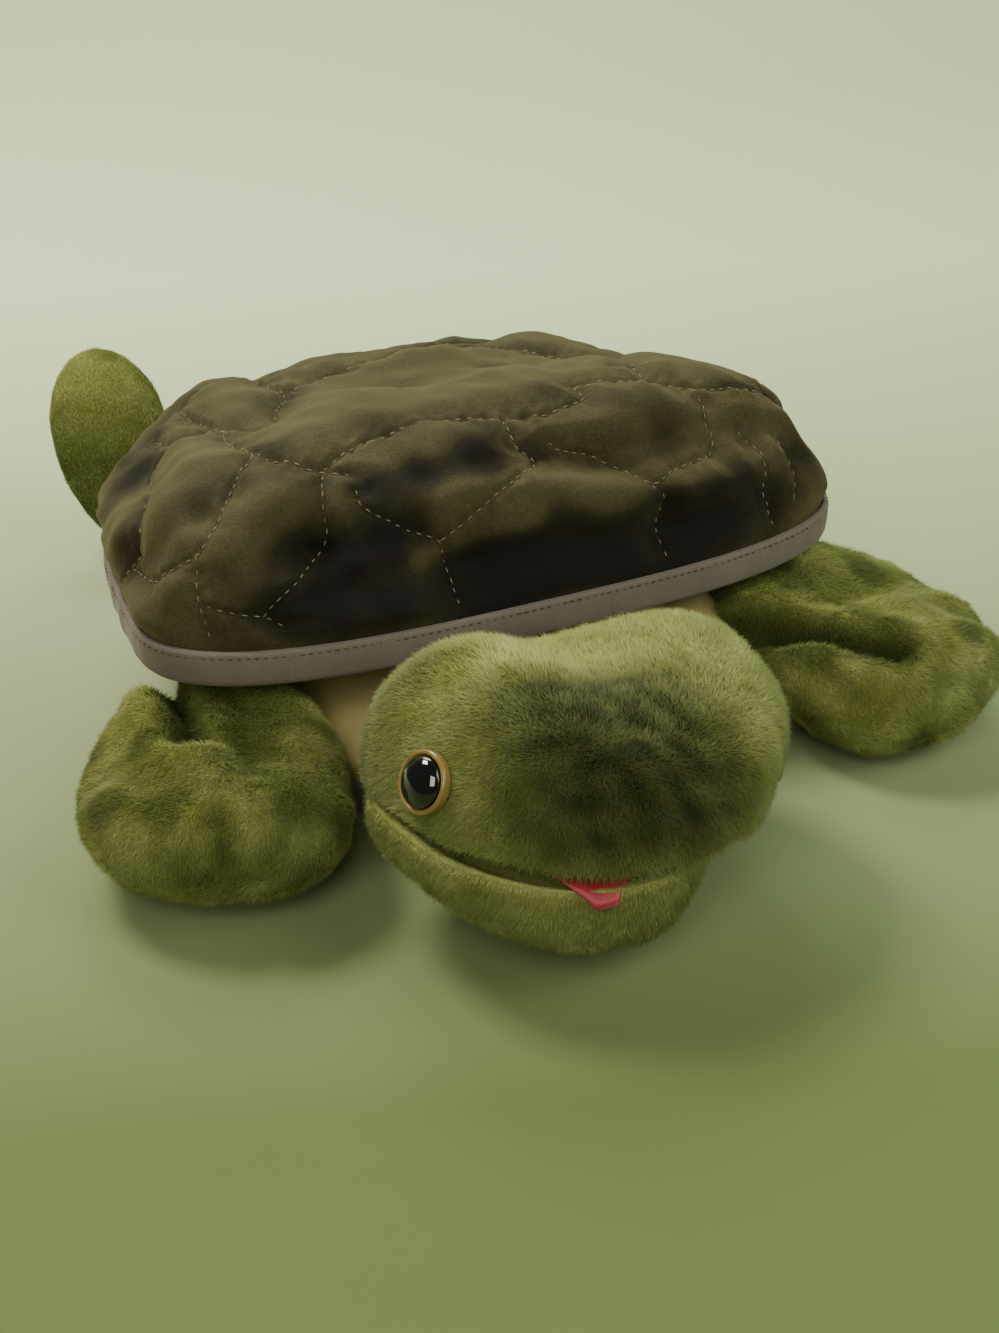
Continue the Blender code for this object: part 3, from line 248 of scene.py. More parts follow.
# The rim is drawn in on the toy's right, behind: how far, and its bearing and half width.
RIM_TUCK = 5 * MM
TUCK_BEARING = math.radians(-112)
TUCK_WIDTH = math.radians(26)
QUILT_SEAT = 2.1 * MM
QUILT_THICK = 6 * MM
QUILT_PUFF = 3.6 * MM
QUILT_GROOVE = 1.5 * MM
# Sewn lines: bearing in degrees from the front towards the toy's left, and level from the
# rim (0) to the crown (1).
SEWN_LINES = (
    ((-79, .71), (-58, .7), (-41, .67), (-31, .66)), ((-40, .68), (-36, .74), (-32, .79)),
    ((-39, .66), (-30, .46), (-30, .41), (-32, .34), (-34, .27), (-38, .2), (-40, .14)),
    ((-56, .18), (-45, .15), (-40, .14), (-36, .1)),
    ((-27, .59), (-25, .54), (-21, .5), (-17, .47), (-11, .4), (-9, .36), (-8, .27), (-7, .05)),
    ((-80, .7), (-69, .57), (-64, .48), (-63, .41), (-64, .35), (-74, .27), (-94, .12)),
    ((-64, .35), (-61, .27), (-59, .21), (-54, .05)), ((-80, .7), (-98, .69), (-112, .7)),
    ((0, .78), (0, .67), (1, .59), (-1, .51), (-4, .45), (-9, .36)),
    ((4, .69), (6, .61), (10, .51), (13, .38), (18, .42), (30, .44), (36, .52), (38, .57),
     (53, .69)),
    ((13, .38), (14, .33), (12, .21), (12, .05)), ((47, .49), (42, .35), (36, .22), (36, .05)),
    ((55, .38), (50, .28), (44, .14)), ((26, .86), (17, .79), (0, .78)),
    ((-32, .79), (-16, .84), (0, .78)), ((53, .69), (66, .6), (76, .45), (77, .25), (74, .05)),
    ((76, .45), (92, .5), (106, .64)), ((53, .69), (44, .78), (26, .86)),
    ((106, .64), (122, .46), (124, .24), (121, .05)),
    ((122, .46), (140, .5), (156, .66), (176, .5), (178, .26), (180, .05)),
    ((106, .64), (104, .78), (140, .82), (156, .66)),
    ((176, .5), (196, .52), (208, .66), (226, .5), (232, .28), (236, .05)),
    ((226, .5), (238, .6), (248, .7)), ((248, .7), (256, .8), (230, .84), (208, .66)),
    ((140, .82), (185, .88), (230, .84)), ((104, .78), (70, .86), (44, .78)),
    ((248, .53), (252, .42), (262, .42), (268, .26), (266, .05)),
    ((248, .7), (248, .53), (240, .44)),
)
# Slack folds: middle line as bearing and level, depth (a ridge where below zero) and width
# in millimetres
FOLDS = (
    (((-40, .4), (-24, .44), (-12, .44)), 5.5, 9), (((-52, .3), (-42, .36), (-34, .42)), 3.5, 7),
    (((-26, .22), (-16, .25), (-6, .24)), 5, 10), (((-4, .24), (14, .2), (34, .26)), 7, 12),
    (((2, .56), (14, .52), (26, .56)), 4, 9), (((34, .4), (42, .44), (50, .46)), 5, 9),
    (((-22, .6), (-8, .62), (4, .64)), 3, 8), (((-30, .52), (-14, .54), (2, .5)), -3.5, 9),
    (((4, .4), (20, .34), (38, .34)), -3.5, 9), (((-70, .3), (-60, .46), (-48, .56)), -3, 10),
    (((-76, .46), (-84, .3), (-92, .18)), 3.5, 9), (((60, .3), (74, .34), (88, .28)), 4, 11),
    (((120, .34), (150, .4), (180, .34)), 4, 13), (((200, .36), (230, .34), (250, .3)), 4, 12),
    (((158, .73), (180, .73), (200, .72)), 5, 17), (((122, .62), (130, .64)), 4, 12),
)
# Painted shade on the velour, and painted highlights where the tone is below zero: middle
# line, depth of tone, and width in millimetres
PAINTED_SHADE_AND_HIGHLIGHTS = (
    (((-50, .62), (-40, .63)), .35, 7), (((-24, .6), (-14, .63)), .5, 7),
    (((-13, .6), (-3, .64)), .6, 7), (((-26, .36), (-16, .4)), .5, 8),
    (((-36, .18), (-26, .24)), .5, 9), (((-16, .12), (-8, .14)), .45, 8),
    (((-3, .19), (4, .15), (9, .11)), .7, 11), (((14, .28), (22, .26), (30, .3)), .65, 8),
    (((-4, .06), (10, .05), (24, .06)), .6, 11), (((-28, .1), (-16, .06)), .5, 10),
    (((6, .64), (16, .6)), -.45, 9), (((38, .5), (54, .47)), -.45, 10),
    (((20, .42), (30, .44)), -.35, 7), (((-12, .28), (-6, .33), (0, .37)), -.4, 5),
    (((-47, .36), (-38, .34)), -.3, 8), (((-10, .44), (-6, .47)), -.3, 5),
    (((96, .3), (110, .26)), .45, 10), (((150, .22), (175, .2)), .45, 11),
    (((-130, .3), (-112, .34)), .45, 10),
)
VELOUR_SHADOW = "080704"
VELOUR_DARK = "26220f"
VELOUR_LIGHT = "4a442b"
QUILT_COLUMNS = 560
QUILT_ROWS = 150
QUILT_INNER_ROWS = 22
NAP_INSIDE = 0.6

RIM_STEPS = 2400
CROWN_CROWDING = 1.8           # power that draws the rings together at the crown
RIPPLE_WAVES = 9


def bell(value, middle, width):
    """exp(-((value - middle) / width) ^ 2)."""
    return np.exp(-((value - middle) / width) ** 2)


def past(value, middle, width):
    """A soft step from 0 to 1 at middle, or from 1 to 0 where width is below zero:
    1 / (1 + exp(-(value - middle) / width))."""
    return 1 / (1 + np.exp(-(value - middle) / width))


def rising(value, start, run):
    """A straight rise from 0 at start to 1 at start + run, which may lie below start."""
    return np.clip((value - start) / run, 0, 1)


def squared(values, power):
    """sign(v) |v| ^ power, which squares off a sine or a cosine."""
    return np.sign(values) * np.abs(values) ** power


def circle(steps, power=1.0):
    """Cosines and sines in even steps round a circle, squared off by a power."""
    turn = np.linspace(0, 2 * math.pi, steps, endpoint=False)
    return squared(np.cos(turn), power), squared(np.sin(turn), power)


def unit(vectors):
    """Vectors brought to length 1."""
    return vectors / np.maximum(np.linalg.norm(vectors, axis=-1), 1e-12)[..., None]


def eased(x, places, shares, window):
    """Shares joined smoothly along x: straight joins, averaged over a window."""
    steps = np.linspace(-window, window, 11)
    return np.mean([np.interp(x + step, places, shares) for step in steps], 0)


def egg(steps, half_width, ahead, behind, widest, powers, inset=0.0):
    """A superellipse seen from above, |x / a| ^ n + |y / b| ^ n = 1, with one power n ahead
    of its widest line and another behind it: its turns, x and y."""
    turn = np.linspace(-math.pi, math.pi, steps)
    front = np.cos(turn) > 0
    power = 2 / np.where(front, *powers)
    reach = np.where(front, ahead - widest, behind + widest) - inset
    x = (half_width - inset) * squared(np.sin(turn), power)
    return turn, x, -widest - reach * squared(np.cos(turn), power)


def evenly(count, x, y, *others):
    """Lines stepped evenly along the length of x and y, and that length."""
    run = np.concatenate([[0], np.cumsum(np.hypot(np.diff(x), np.diff(y)))])
    even = np.linspace(0, run[-1], count, endpoint=False)
    return run[-1], [np.interp(even, run, values) for values in (x, y, *others)]


def outline(points):
    """The rim seen from above, as turn, x, y, the outward normal and its length: the egg,
    drawn in on the right by RIM_TUCK and stepped evenly."""
    turn, x, y = egg(40001, SHELL_HALF_WIDTH, SHELL_AHEAD, SHELL_BEHIND, SHELL_WIDEST,
                     SHELL_POWERS)
    x += RIM_TUCK * bell(turn, TUCK_BEARING, TUCK_WIDTH)
    length, (x, y, turn) = evenly(points, x, y, turn)
    along = unit(np.stack([np.roll(x, -1) - np.roll(x, 1), np.roll(y, -1) - np.roll(y, 1)], 1))
    return turn, x, y, np.stack([along[:, 1], -along[:, 0]], 1), length


RIM_TURN, RIM_X, RIM_Y, RIM_OUT, RIM_LENGTH = outline(RIM_STEPS)


def rim_at(turn, seat):
    """A point of the rim's outline, drawn in by seat along its normal."""
    wrapped = (turn + math.pi) % (2 * math.pi) - math.pi
    x, y, out_x, out_y = (np.interp(wrapped, RIM_TURN, values, period=2 * math.pi)
                          for values in (RIM_X, RIM_Y, RIM_OUT[:, 0], RIM_OUT[:, 1]))
    return x - out_x * seat, y - out_y * seat


def rim_turns(steps):
    """The turns at some of the rim's even steps."""
    return np.interp(steps, np.arange(RIM_STEPS), RIM_TURN)


def rim_ring(turns, seat, level):
    """A level ring of the rim's outline."""
    x, y = rim_at(turns, seat)
    return np.stack([x, y, np.full(len(x), level)], -1)


def dome_grid(columns, rows):
    """Turns round the rim, and the grid of turns and levels, closer towards the crown."""
    turns = rim_turns(np.arange(columns) * RIM_STEPS / columns)
    levels = 1 - (1 - np.linspace(0, 1, rows, endpoint=False)) ** CROWN_CROWDING
    return turns, *np.meshgrid(turns, levels)


def dome(turn, level, seat=QUILT_SEAT, lower=0.0):
    """The dome's cloth: the rim's outline drawn in towards the crown by cos(a) ^ 0.55 and
    lifted by sin(a), a being a quarter turn times the level. Its height follows the length
    of the shell, with one slack valley behind the front ridge."""
    rim_x, rim_y = rim_at(turn, seat)
    angle = level * math.pi / 2
    draw = np.clip(np.cos(angle), 0, 1) ** DOME_STEEPNESS
    x = rim_x * draw
    y = -SHELL_CENTRE + (rim_y + SHELL_CENTRE) * draw
    places = DOME_PLACES * np.where(DOME_PLACES < 0, SHELL_AHEAD, SHELL_BEHIND)
    height = DOME_HEIGHT * eased(y, places, DOME_RISES, 16 * MM) - lower
    valley = VALLEY_DEPTH * bell(y, VALLEY_PLACE, VALLEY_WIDTH) * np.sin(angle) ** 2
    crease = bell(x, 45 * MM, 55 * MM) * past(y, -62 * MM, -4 * MM)
    near = bell(level, CREASE_LEVEL, CREASE_HALF)
    return np.stack([x, y + CREASE_PUSH * crease * near,
                     COLLAR_TOP + height * np.sin(angle) - valley], -1)


def ripple(points, size, seed):
    """Smooth noise about 0: sine waves of about one length in random directions."""
    random = np.random.default_rng(seed)
    ways = random.normal(size=(RIPPLE_WAVES, 3))
    ways *= (2 * math.pi / size * random.uniform(0.7, 1.4, RIPPLE_WAVES)
             / np.linalg.norm(ways, axis=1))[:, None]
    phases = random.uniform(0, 2 * math.pi, RIPPLE_WAVES)
    total = np.sin(points.reshape(-1, 3) @ ways.T + phases).sum(1) / math.sqrt(RIPPLE_WAVES)
    return total.reshape(points.shape[:-1])


def along_line(line, spacing):
    """A sewn or folded line as even steps of turn and level, about spacing apart."""
    turns, levels = np.radians([p[0] for p in line]), np.array([p[1] for p in line], float)
    joints, fine = np.linspace(0, 1, len(line)), np.linspace(0, 1, 60 * len(line))
    soft = 0.25 / len(line)
    ends = eased(fine, joints, turns, soft), eased(fine, joints, levels, soft)
    spots = dome(*ends)
    run = np.concatenate([[0], np.cumsum(np.linalg.norm(np.diff(spots, axis=0), axis=1))])
    even = np.linspace(0, run[-1], max(3, int(run[-1] / spacing)))
    return np.interp(even, run, ends[0]), np.interp(even, run, ends[1])


def nearest(points, line):
    """Distance of each point to the nearest of a line's points, in blocks of rows."""
    flat = points.reshape(-1, 3)
    best = np.empty(len(flat))
    square = (line ** 2).sum(1)
    for start in range(0, len(flat), 4000):
        block = flat[start:start + 4000]
        gaps = (block ** 2).sum(1)[:, None] + square - 2 * block @ line.T
        best[start:start + 4000] = np.sqrt(np.maximum(gaps.min(1), 0))
    return best.reshape(points.shape[:-1])


def spots_along(line, spacing):
    """Points of the plain dome along a line."""
    return dome(*along_line(line, spacing))


SEAM_SPOTS = np.concatenate([spots_along(line, 2 * MM) for line in SEWN_LINES])
FOLD_SPOTS = [(spots_along(line, 3 * MM), depth * MM, width * MM) for line, depth, width in FOLDS]
PAINTED_TONE_SPOTS = [(spots_along(line, 3 * MM), tone, width * MM) for line, tone, width in PAINTED_SHADE_AND_HIGHLIGHTS]


def free_at(level):
    """How freely the cloth moves: held at the rim and closed at the crown."""
    return rising(level, 0, 0.08) * rising(level, 1.02, -0.05)


def slack(points, level):
    """How far the loose cloth stands out from the plain dome: its folds, each a dent of
    depth exp(-(d / width)^2), on a slow wave. All its layers share it."""
    wave = 1.5 * MM * ripple(points, 46 * MM, 11)
    sink = np.zeros(points.shape[:-1])
    for spots, depth, width in FOLD_SPOTS:
        sink += depth * bell(nearest(points, spots), 0, width)
    return free_at(level) * (wave - sink), sink


def relief(points, level):
    """How far the quilt stands out at a point of the plain dome, and how dark it is painted.
    Between seams it swells by 1 - exp(-(d / 9 mm)^2), at a seam it is pinched by
    exp(-(d / 1.4 mm)^2) and puckered, and the slack folds are added. Its painted shade
    deepens in the folds and along the listed lines, some of which paint highlights, and
    the swells are painted lighter as light on their crests."""
    gap = nearest(points, SEAM_SPOTS)
    swell = QUILT_PUFF * (1 - bell(gap, 0, 9 * MM))
    pinch = QUILT_GROOVE * bell(gap, 0, 1.4 * MM)
    pucker = 0.5 * MM * bell(gap, 0, 5 * MM) * ripple(points, 6 * MM, 3)
    pucker += 0.5 * MM * ripple(points, 17 * MM, 12)
    out, sink = slack(points, level)
    # Painted shade: darker the deeper a fold sinks, over a slow random ripple of tone; the listed
    # lines add painted shade or painted highlights.
    shade = 0.28 + sink / (13 * MM) + 0.12 * ripple(points, 30 * MM, 21)
    for spots, tone, width in PAINTED_TONE_SPOTS:
        shade += tone * bell(nearest(points, spots), 0, width)
    # The swells are painted lighter, as light on their crests.
    return (out + free_at(level) * (swell - pinch + pucker),
            np.clip(shade - 0.22 * swell / QUILT_PUFF, 0, 1))


def net(rows, columns):
    """Quads of a grid of points stored ring by ring, each ring joined round."""
    i, j = np.meshgrid(np.arange(rows - 1), np.arange(columns), indexing="ij")
    k = (j + 1) % columns
    return np.stack([i * columns + j, i * columns + k, (i + 1) * columns + k,
                     (i + 1) * columns + j], -1).reshape(-1, 4)


def fan(ring, pole):
    """Triangles that close a ring of points to one pole."""
    return np.stack([ring, np.roll(ring, -1), np.full(len(ring), pole)], 1)


def outward(grid):
    """Unit normals of a wrapped grid of rings, from its central differences."""
    around = np.roll(grid, -1, 1) - np.roll(grid, 1, 1)
    up = np.empty_like(grid)
    up[1:-1] = grid[2:] - grid[:-2]
    up[0], up[-1] = grid[1] - grid[0], grid[-1] - grid[-2]
    return unit(np.cross(around, up))


def capped(rings):
    """Rings closed to a point in the middle of the first and of the last."""
    count = rings.shape[1]
    points = np.concatenate([rings.reshape(-1, 3), [rings[0].mean(0), rings[-1].mean(0)]])
    last = len(rings) * count
    ring = np.arange(count)
    return points, [net(len(rings), count), fan(ring[::-1], last),
                    fan(last - count + ring, last + 1)]


def sewn(made, body, slot, *replaced):
    """A piece set on its body, in place of the CAD nodes that it replaces. Its slot is not used."""
    if replaced:
        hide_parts(*replaced)
    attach(made, body)
    return made


turns_at, turns, levels = dome_grid(QUILT_COLUMNS, QUILT_ROWS)
outer = dome(turns, levels)
lift, shade = relief(outer, levels)
outer = outer + outward(outer) * lift[..., None]
_, turns, levels = dome_grid(QUILT_COLUMNS, QUILT_INNER_ROWS)
inner = dome(turns, levels, QUILT_SEAT + QUILT_THICK, QUILT_THICK)
inner += outward(inner) * slack(inner, levels)[0][..., None]
# The collar, which the tape holds, runs straight down from the dome's foot.
feet = [rim_ring(turns_at, seat, COLLAR_FOOT) for seat in (QUILT_SEAT + QUILT_THICK, QUILT_SEAT)]
# The nap attribute carries the quilt's painted shade and painted highlights outside, and NAP_INSIDE
# inside.
nap = np.concatenate([np.full((QUILT_INNER_ROWS + 2) * QUILT_COLUMNS, NAP_INSIDE),
                      shade.ravel(), [NAP_INSIDE, shade[-1].mean()]])


# Velour: a short cut pile on knitted cloth. Its nap drinks the light seen head on and shines
# where it is seen aslant. Its colour carries painted shade in the folds and along the listed
# lines, and painted light on the crests.
velour, tree, shader = material("quilted velour", Roughness=0.78, Specular_IOR_Level=0.25,
                                Sheen_Weight=0.30, Sheen_Roughness=0.45,
                                Sheen_Tint=linear("b8ab7c"))
# The painted shade and painted highlights come in through the nap attribute.
painted_light_and_shade = node(tree, "Attribute", {}, attribute_name="nap")
bruise = node(tree, "Math", {0: noise(tree, 17 * MM, 5.0, 0.6), 1: 0.55, 2: -0.27},
              operation="MULTIPLY_ADD")
both = node(tree, "Math", {0: painted_light_and_shade.outputs["Fac"], 1: bruise.outputs[0]}, operation="ADD")
ramp = node(tree, "ValToRGB", {"Fac": both.outputs[0]})
stops = ramp.color_ramp.elements
stops[0].position, stops[0].color = 0.12, linear(VELOUR_LIGHT)
stops[1].position, stops[1].color = 0.92, linear(VELOUR_SHADOW)
stops.new(0.52).color = linear(VELOUR_DARK)
pile = noise(tree, 1.1 * MM, 4.0, 0.7)
tree.links.new(mixed(tree, 0.75, ramp.outputs["Color"], pile, "OVERLAY"),
               shader.inputs["Base Color"])
dimpled(tree, shader, pile, 0.75, 0.6 * MM)
quilt = piece("shell_quilt", *capped(np.concatenate([inner[::-1], feet, outer])), velour, nap=nap)
sewn(quilt, "shell_and_belly", "velour_shell", "carapace_quilt")

# The quilting stitches: cream polyester thread, each stitch 2.3 mm long and sunk at its two
# ends, where the needle went down through the wadding.
STITCH_LENGTH = 2.3 * MM
STITCH_PITCH = 3.4 * MM
STITCH_RADIUS = 0.19 * MM
STITCH_RISE = 0.45 * MM


def spindles(middles, ways, ups, length, radius):
    """Short stitches: each is a ring of 5 points at 4 places between two tips, as thick as
    radius times sqrt(1 - t^2), and arched downwards at its tips."""
    t = np.array([-0.72, -0.25, 0.25, 0.72])[:, None]
    corner = np.arange(5)
    cosine, sine = circle(5)
    width = radius * np.sqrt(1 - t ** 2)
    local = np.stack(np.broadcast_arrays(t * length / 2, cosine * width,
                                         sine * width - radius * 1.2 * t ** 2), -1)
    local = np.concatenate([local.reshape(-1, 3), [[-length / 2, 0, -radius * 1.4],
                                                   [length / 2, 0, -radius * 1.4]]])
    axes = ways, np.cross(ways, ups), ups
    points = middles[:, None] + sum(local[None, :, k:k + 1] * axes[k][:, None] for k in range(3))
    shift = np.arange(len(middles))[:, None, None] * len(local)
    blocks = [net(4, 5), fan(corner[::-1], 20), fan(15 + corner, 21)]
    return points.reshape(-1, 3), [(block[None] + shift).reshape(-1, block.shape[1])
                                   for block in blocks]


middles, ways, ups = [], [], []
for line in SEWN_LINES:
    turn, level = along_line(line, STITCH_PITCH)
    spots = dome(turn, level)
    side, over = (dome(turn + a, level + b) - dome(turn - a, level - b)
                  for a, b in ((0.01, 0), (0, 0.01)))
    up = unit(np.cross(side, over))
    spots = spots + up * (relief(spots, level)[0] + STITCH_RISE)[:, None]
    way = unit(np.gradient(spots, axis=0))
    up = unit(up - way * (up * way).sum(1)[:, None])
    keep = (level > 0.045) & (level < 0.97)
    middles.append(spots[keep])
    ways.append(way[keep])
    ups.append(up[keep])
thread = mottled("cream polyester thread", "6d6446", "aea27a", 4 * MM,
                 Base_Color=linear("948862"), Roughness=0.5)
stitches = spindles(*map(np.concatenate, (middles, ways, ups)), STITCH_LENGTH, STITCH_RADIUS)
sewn(piece("quilting_stitches", *stitches, thread), "shell_and_belly", "velour_shell")

# The lining: thin green cloth that hangs loose inside the quilt, sewn in with it at the rim.
LINING_SEAT = 8.4 * MM
LINING_SLACK = 3 * MM
LINING_CLOTH = 1.2 * MM
LINING_COLUMNS = 160
LINING_ROWS = 36
LINING_DROP = 1 * MM
cotton = mottled("woven lining cotton", "5b6540", "7c8658", 0.8 * MM, 2.0,
                 (0.8 * MM, 2.0, 0, 0.3, 0.3 * MM), Base_Color=linear("6b754a"), Roughness=0.85)
turns_at, turns, levels = dome_grid(LINING_COLUMNS, LINING_ROWS)
skins = []
for deep in (0.0, LINING_CLOTH):
    wall = dome(turns, levels, LINING_SEAT + deep,
                (QUILT_THICK + LINING_SLACK + deep) * rising(levels, 0, 0.2))
    drop = LINING_DROP * rising(levels, 0, 0.15) * (0.7 + 0.3 * ripple(wall, 40 * MM, 31))
    wall += outward(wall) * (slack(wall, levels)[0] - drop)[..., None]
    skins.append(np.concatenate([[rim_ring(turns_at, LINING_SEAT + deep, COLLAR_FOOT)], wall]))
lining = piece("shell_lining", *capped(np.concatenate([skins[1][::-1], skins[0]])), cotton)
sewn(lining, "shell_and_belly", "lining_cloth", "carapace_lining")

# The rim: a taupe cotton bias tape folded under the raw edges of quilt and lining, and run
# down with one dark line of stitches near its upper edge.
TAPE_FOOT = 50.5 * MM
TAPE_HEIGHT = 13.8 * MM
TAPE_WALL = 1.8 * MM
TAPE_WIDTH = 11.7 * MM
TAPE_COLUMNS = 720
TAPE_CORNER = 3.2 * MM         # the bend at its foot
corner = np.radians(np.linspace(0, 90, 6))
outer_wall = np.stack([0.35 * MM * np.sin(np.linspace(0, math.pi, 9)),
                       np.linspace(TAPE_HEIGHT - 0.6 * MM, TAPE_CORNER, 9)], 1)
bend = TAPE_CORNER * np.stack([np.cos(corner) - 1, 1 - np.sin(corner)], 1)
under = np.stack([np.linspace(-TAPE_CORNER, -TAPE_WIDTH + TAPE_CORNER, 5), np.zeros(5)], 1)[1:-1]
half = np.concatenate([outer_wall, bend[1:]])
outside = np.concatenate([half, under, np.stack([-TAPE_WIDTH - half[::-1, 0], half[::-1, 1]], 1)])
scale = (TAPE_WIDTH / 2 - TAPE_WALL) / (TAPE_WIDTH / 2)
inside = np.stack([(outside[:, 0] + TAPE_WIDTH / 2) * scale - TAPE_WIDTH / 2,
                   np.maximum(outside[:, 1], 0) * (TAPE_HEIGHT - TAPE_WALL) / TAPE_HEIGHT
                   + TAPE_WALL], 1)[::-1]
inside[:, 1] = np.minimum(inside[:, 1], TAPE_HEIGHT - 0.4 * MM)
section = np.concatenate([outside, inside])


def looped(rings):
    """Rings joined in a loop, the last to the first."""
    count = rings.shape[1]
    return rings.reshape(-1, 3), [net(len(rings) + 1, count) % (len(rings) * count)]


def sweep(section, base, out, wave, rise):
    """A section of out and up carried round a base line, with the small puckers that the
    sewing draws into it: wave outwards, and a share of it upwards."""
    wave = wave[:, None, None]
    return looped(base[:, None] + out[:, None] * (section[None, :, :1] + wave)
                  + np.array([0, 0, 1]) * (section[None, :, 1:] + rise * wave))


bias = mottled("cotton bias tape", "696058", "7f776c", 25 * MM, 4.0,
               (0.7 * MM, 2.0, 0.25, 0.35, 0.3 * MM), Roughness=0.82, Sheen_Weight=0.15,
               Specular_IOR_Level=0.25)
turns = rim_turns(np.arange(TAPE_COLUMNS) * RIM_STEPS / TAPE_COLUMNS)
base = rim_ring(turns, 0.0, TAPE_FOOT)
out = (rim_ring(turns, -1 * MM, TAPE_FOOT) - base) / MM
wave = 0.22 * MM * ripple(base, 11 * MM, 41) + 0.22 * MM * ripple(base, 37 * MM, 42)
tape = piece("rim_tape", *sweep(section, base, out, wave, 0.6), bias)
sewn(tape, "shell_and_belly", "binding_tape", "carapace_binding")

TAPE_STITCH_PITCH = 2.9 * MM
turns = rim_turns(np.arange(0, RIM_STEPS, RIM_STEPS * TAPE_STITCH_PITCH / RIM_LENGTH))
middles = rim_ring(turns, -0.42 * MM, TAPE_FOOT + TAPE_HEIGHT - 2.4 * MM)
wave = 0.22 * MM * ripple(middles * [1, 1, 0] + [0, 0, TAPE_FOOT], 37 * MM, 42)
ways = unit(np.roll(middles, -1, 0) - np.roll(middles, 1, 0))
ups = np.cross(ways, [0, 0, 1.0])
ups *= np.sign((ups[:, :2] * (middles[:, :2] + [0, SHELL_WIDEST])).sum(1))[:, None]
dark_thread, _, _ = material("dark polyester thread", Base_Color=linear("3d332c"), Roughness=0.55)
stitches = spindles(middles + ups * (wave[:, None] - 0.15 * MM), ways, ups, 1.9 * MM, 0.24 * MM)
sewn(piece("tape_stitches", *stitches, dark_thread), "shell_and_belly", "binding_tape")

# The belly pillow: cream velour over loose fibre, closed underneath by a flat panel and
# bound along its foot with the same taupe tape. Its outline: half width, reach ahead and
# behind, and its widest line.
BELLY_EGG = 86 * MM, 130 * MM, 86 * MM, 45 * MM
BELLY_POWERS = 4.0, 2.2
BELLY_HEIGHT = 38 * MM
BELLY_SHOULDER = 25 * MM       # where its sides turn over
BELLY_SOFT = 12 * MM           # above here it swells and sags
BELLY_SAG = 14 * MM
BELLY_COLUMNS = 200
BELLY_TAPE_COLUMNS = 360


def belly_ring(columns, inset, level=0.0):
    """A level ring of the pillow's outline, drawn in by inset."""
    _, x, y = egg(20001, *BELLY_EGG, BELLY_POWERS, inset)
    _, (x, y) = evenly(columns, x, y)
    return np.stack([x, y, np.full(columns, level)], 1)


def stack(levels, insets):
    """Rings of the belly's outline, each at its level and drawn in by its inset."""
    return np.array([belly_ring(BELLY_COLUMNS, inset, level)
                     for level, inset in zip(levels, insets)])


top_turn = np.linspace(0, math.pi / 2, 16)[1:]
side_levels = np.linspace(2.9 * MM, BELLY_SHOULDER, 22)
bulging = np.sin(math.pi * rising(side_levels, 8 * MM, 34 * MM))
side_insets = 0.9 * MM - 2.6 * MM * bulging
top_levels = BELLY_SHOULDER + 13 * MM * np.sin(top_turn)
top_insets = side_insets[-1] + 20 * MM * (1 - np.cos(top_turn))
rings = stack(np.concatenate([side_levels, top_levels, np.full(12, BELLY_HEIGHT)]),
              np.concatenate([side_insets, top_insets, np.linspace(24, 80, 12) * MM]))
rings += outward(rings) * (0.5 * MM * ripple(rings, 26 * MM, 51)
                           * rising(rings[..., 2], BELLY_SOFT, 8 * MM))[..., None]
rings[..., 2] = np.minimum(rings[..., 2], BELLY_HEIGHT + 0.4 * MM)
# Its front right edge has sunk, so a dark hollow shows between it and the rim.
sunk = BELLY_SAG * past(rings[..., 1] + 0.55 * rings[..., 0], -84 * MM, -8 * MM)
rings[..., 2] -= sunk * rising(rings[..., 2], BELLY_SOFT, BELLY_HEIGHT - BELLY_SOFT)
cream = mottled("cream velour", "a3935a", "c9bb80", 16 * MM, 5.0, (0.9 * MM, 2.0, 0, 0.4, 0.5 * MM),
                Roughness=0.8, Sheen_Weight=0.4, Sheen_Tint=linear("e8dfb4"),
                Specular_IOR_Level=0.25)
belly = piece("belly_pillow", *capped(rings), cream)
sewn(belly, "shell_and_belly", "cream_velour", "belly_cover", "belly_stuffing")

panel = piece("belly_panel", *capped(stack(np.array([0.3, 0.0, 0.0, 0.4, 2.2, 2.5, 2.5]) * MM,
                                           np.array([80, 40, 2, 0.3, 0.3, 2, 60]) * MM)), cream)
sewn(panel, "shell_and_belly", "cream_velour", "belly_base_panel")

low_turn = np.radians(np.linspace(-90, 0, 5))
band = np.concatenate([
    np.stack([1.5 * MM + 0.7 * MM * np.cos(low_turn), 0.8 * MM + 0.8 * MM * np.sin(low_turn)], 1),
    np.stack([2.2 * MM + 0.25 * MM * np.sin(np.linspace(0, math.pi, 7)),
              np.linspace(1, 11, 7) * MM], 1),
    np.array([[1.9, 11.45], [1.1, 11.5], [0.3, 11.3], [0.3, 6.0], [0.3, 0.2]]) * MM])
base = belly_ring(BELLY_TAPE_COLUMNS, 0.0)
out = unit(belly_ring(BELLY_TAPE_COLUMNS, -1 * MM) - base)
wave = 0.12 * MM * ripple(base, 12 * MM, 55)
belly_tape = piece("belly_tape", *sweep(band, base, out, wave, 0), bias)
sewn(belly_tape, "shell_and_belly", "binding_tape", "belly_binding")

# The plush: knitted backing with a dense cut pile of soft polyester, 2 to 4 mm long. Its
# tips are pale and its roots dark, so it shades with the way that it has been stroked.
PLUSH_TIP = np.array(linear("bcc276")[:3])
PLUSH_MID = np.array(linear("98a14c")[:3])
PLUSH_DARK = np.array(linear("525f22")[:3])
PLUSH_ROOT = np.array(linear("262f0c")[:3])
STRAND_WIDTH = 0.30 * MM
STRANDS = 48000                # in each layer on the head, the jaw and the front flippers
PILE = 4.2 * MM                # its length there

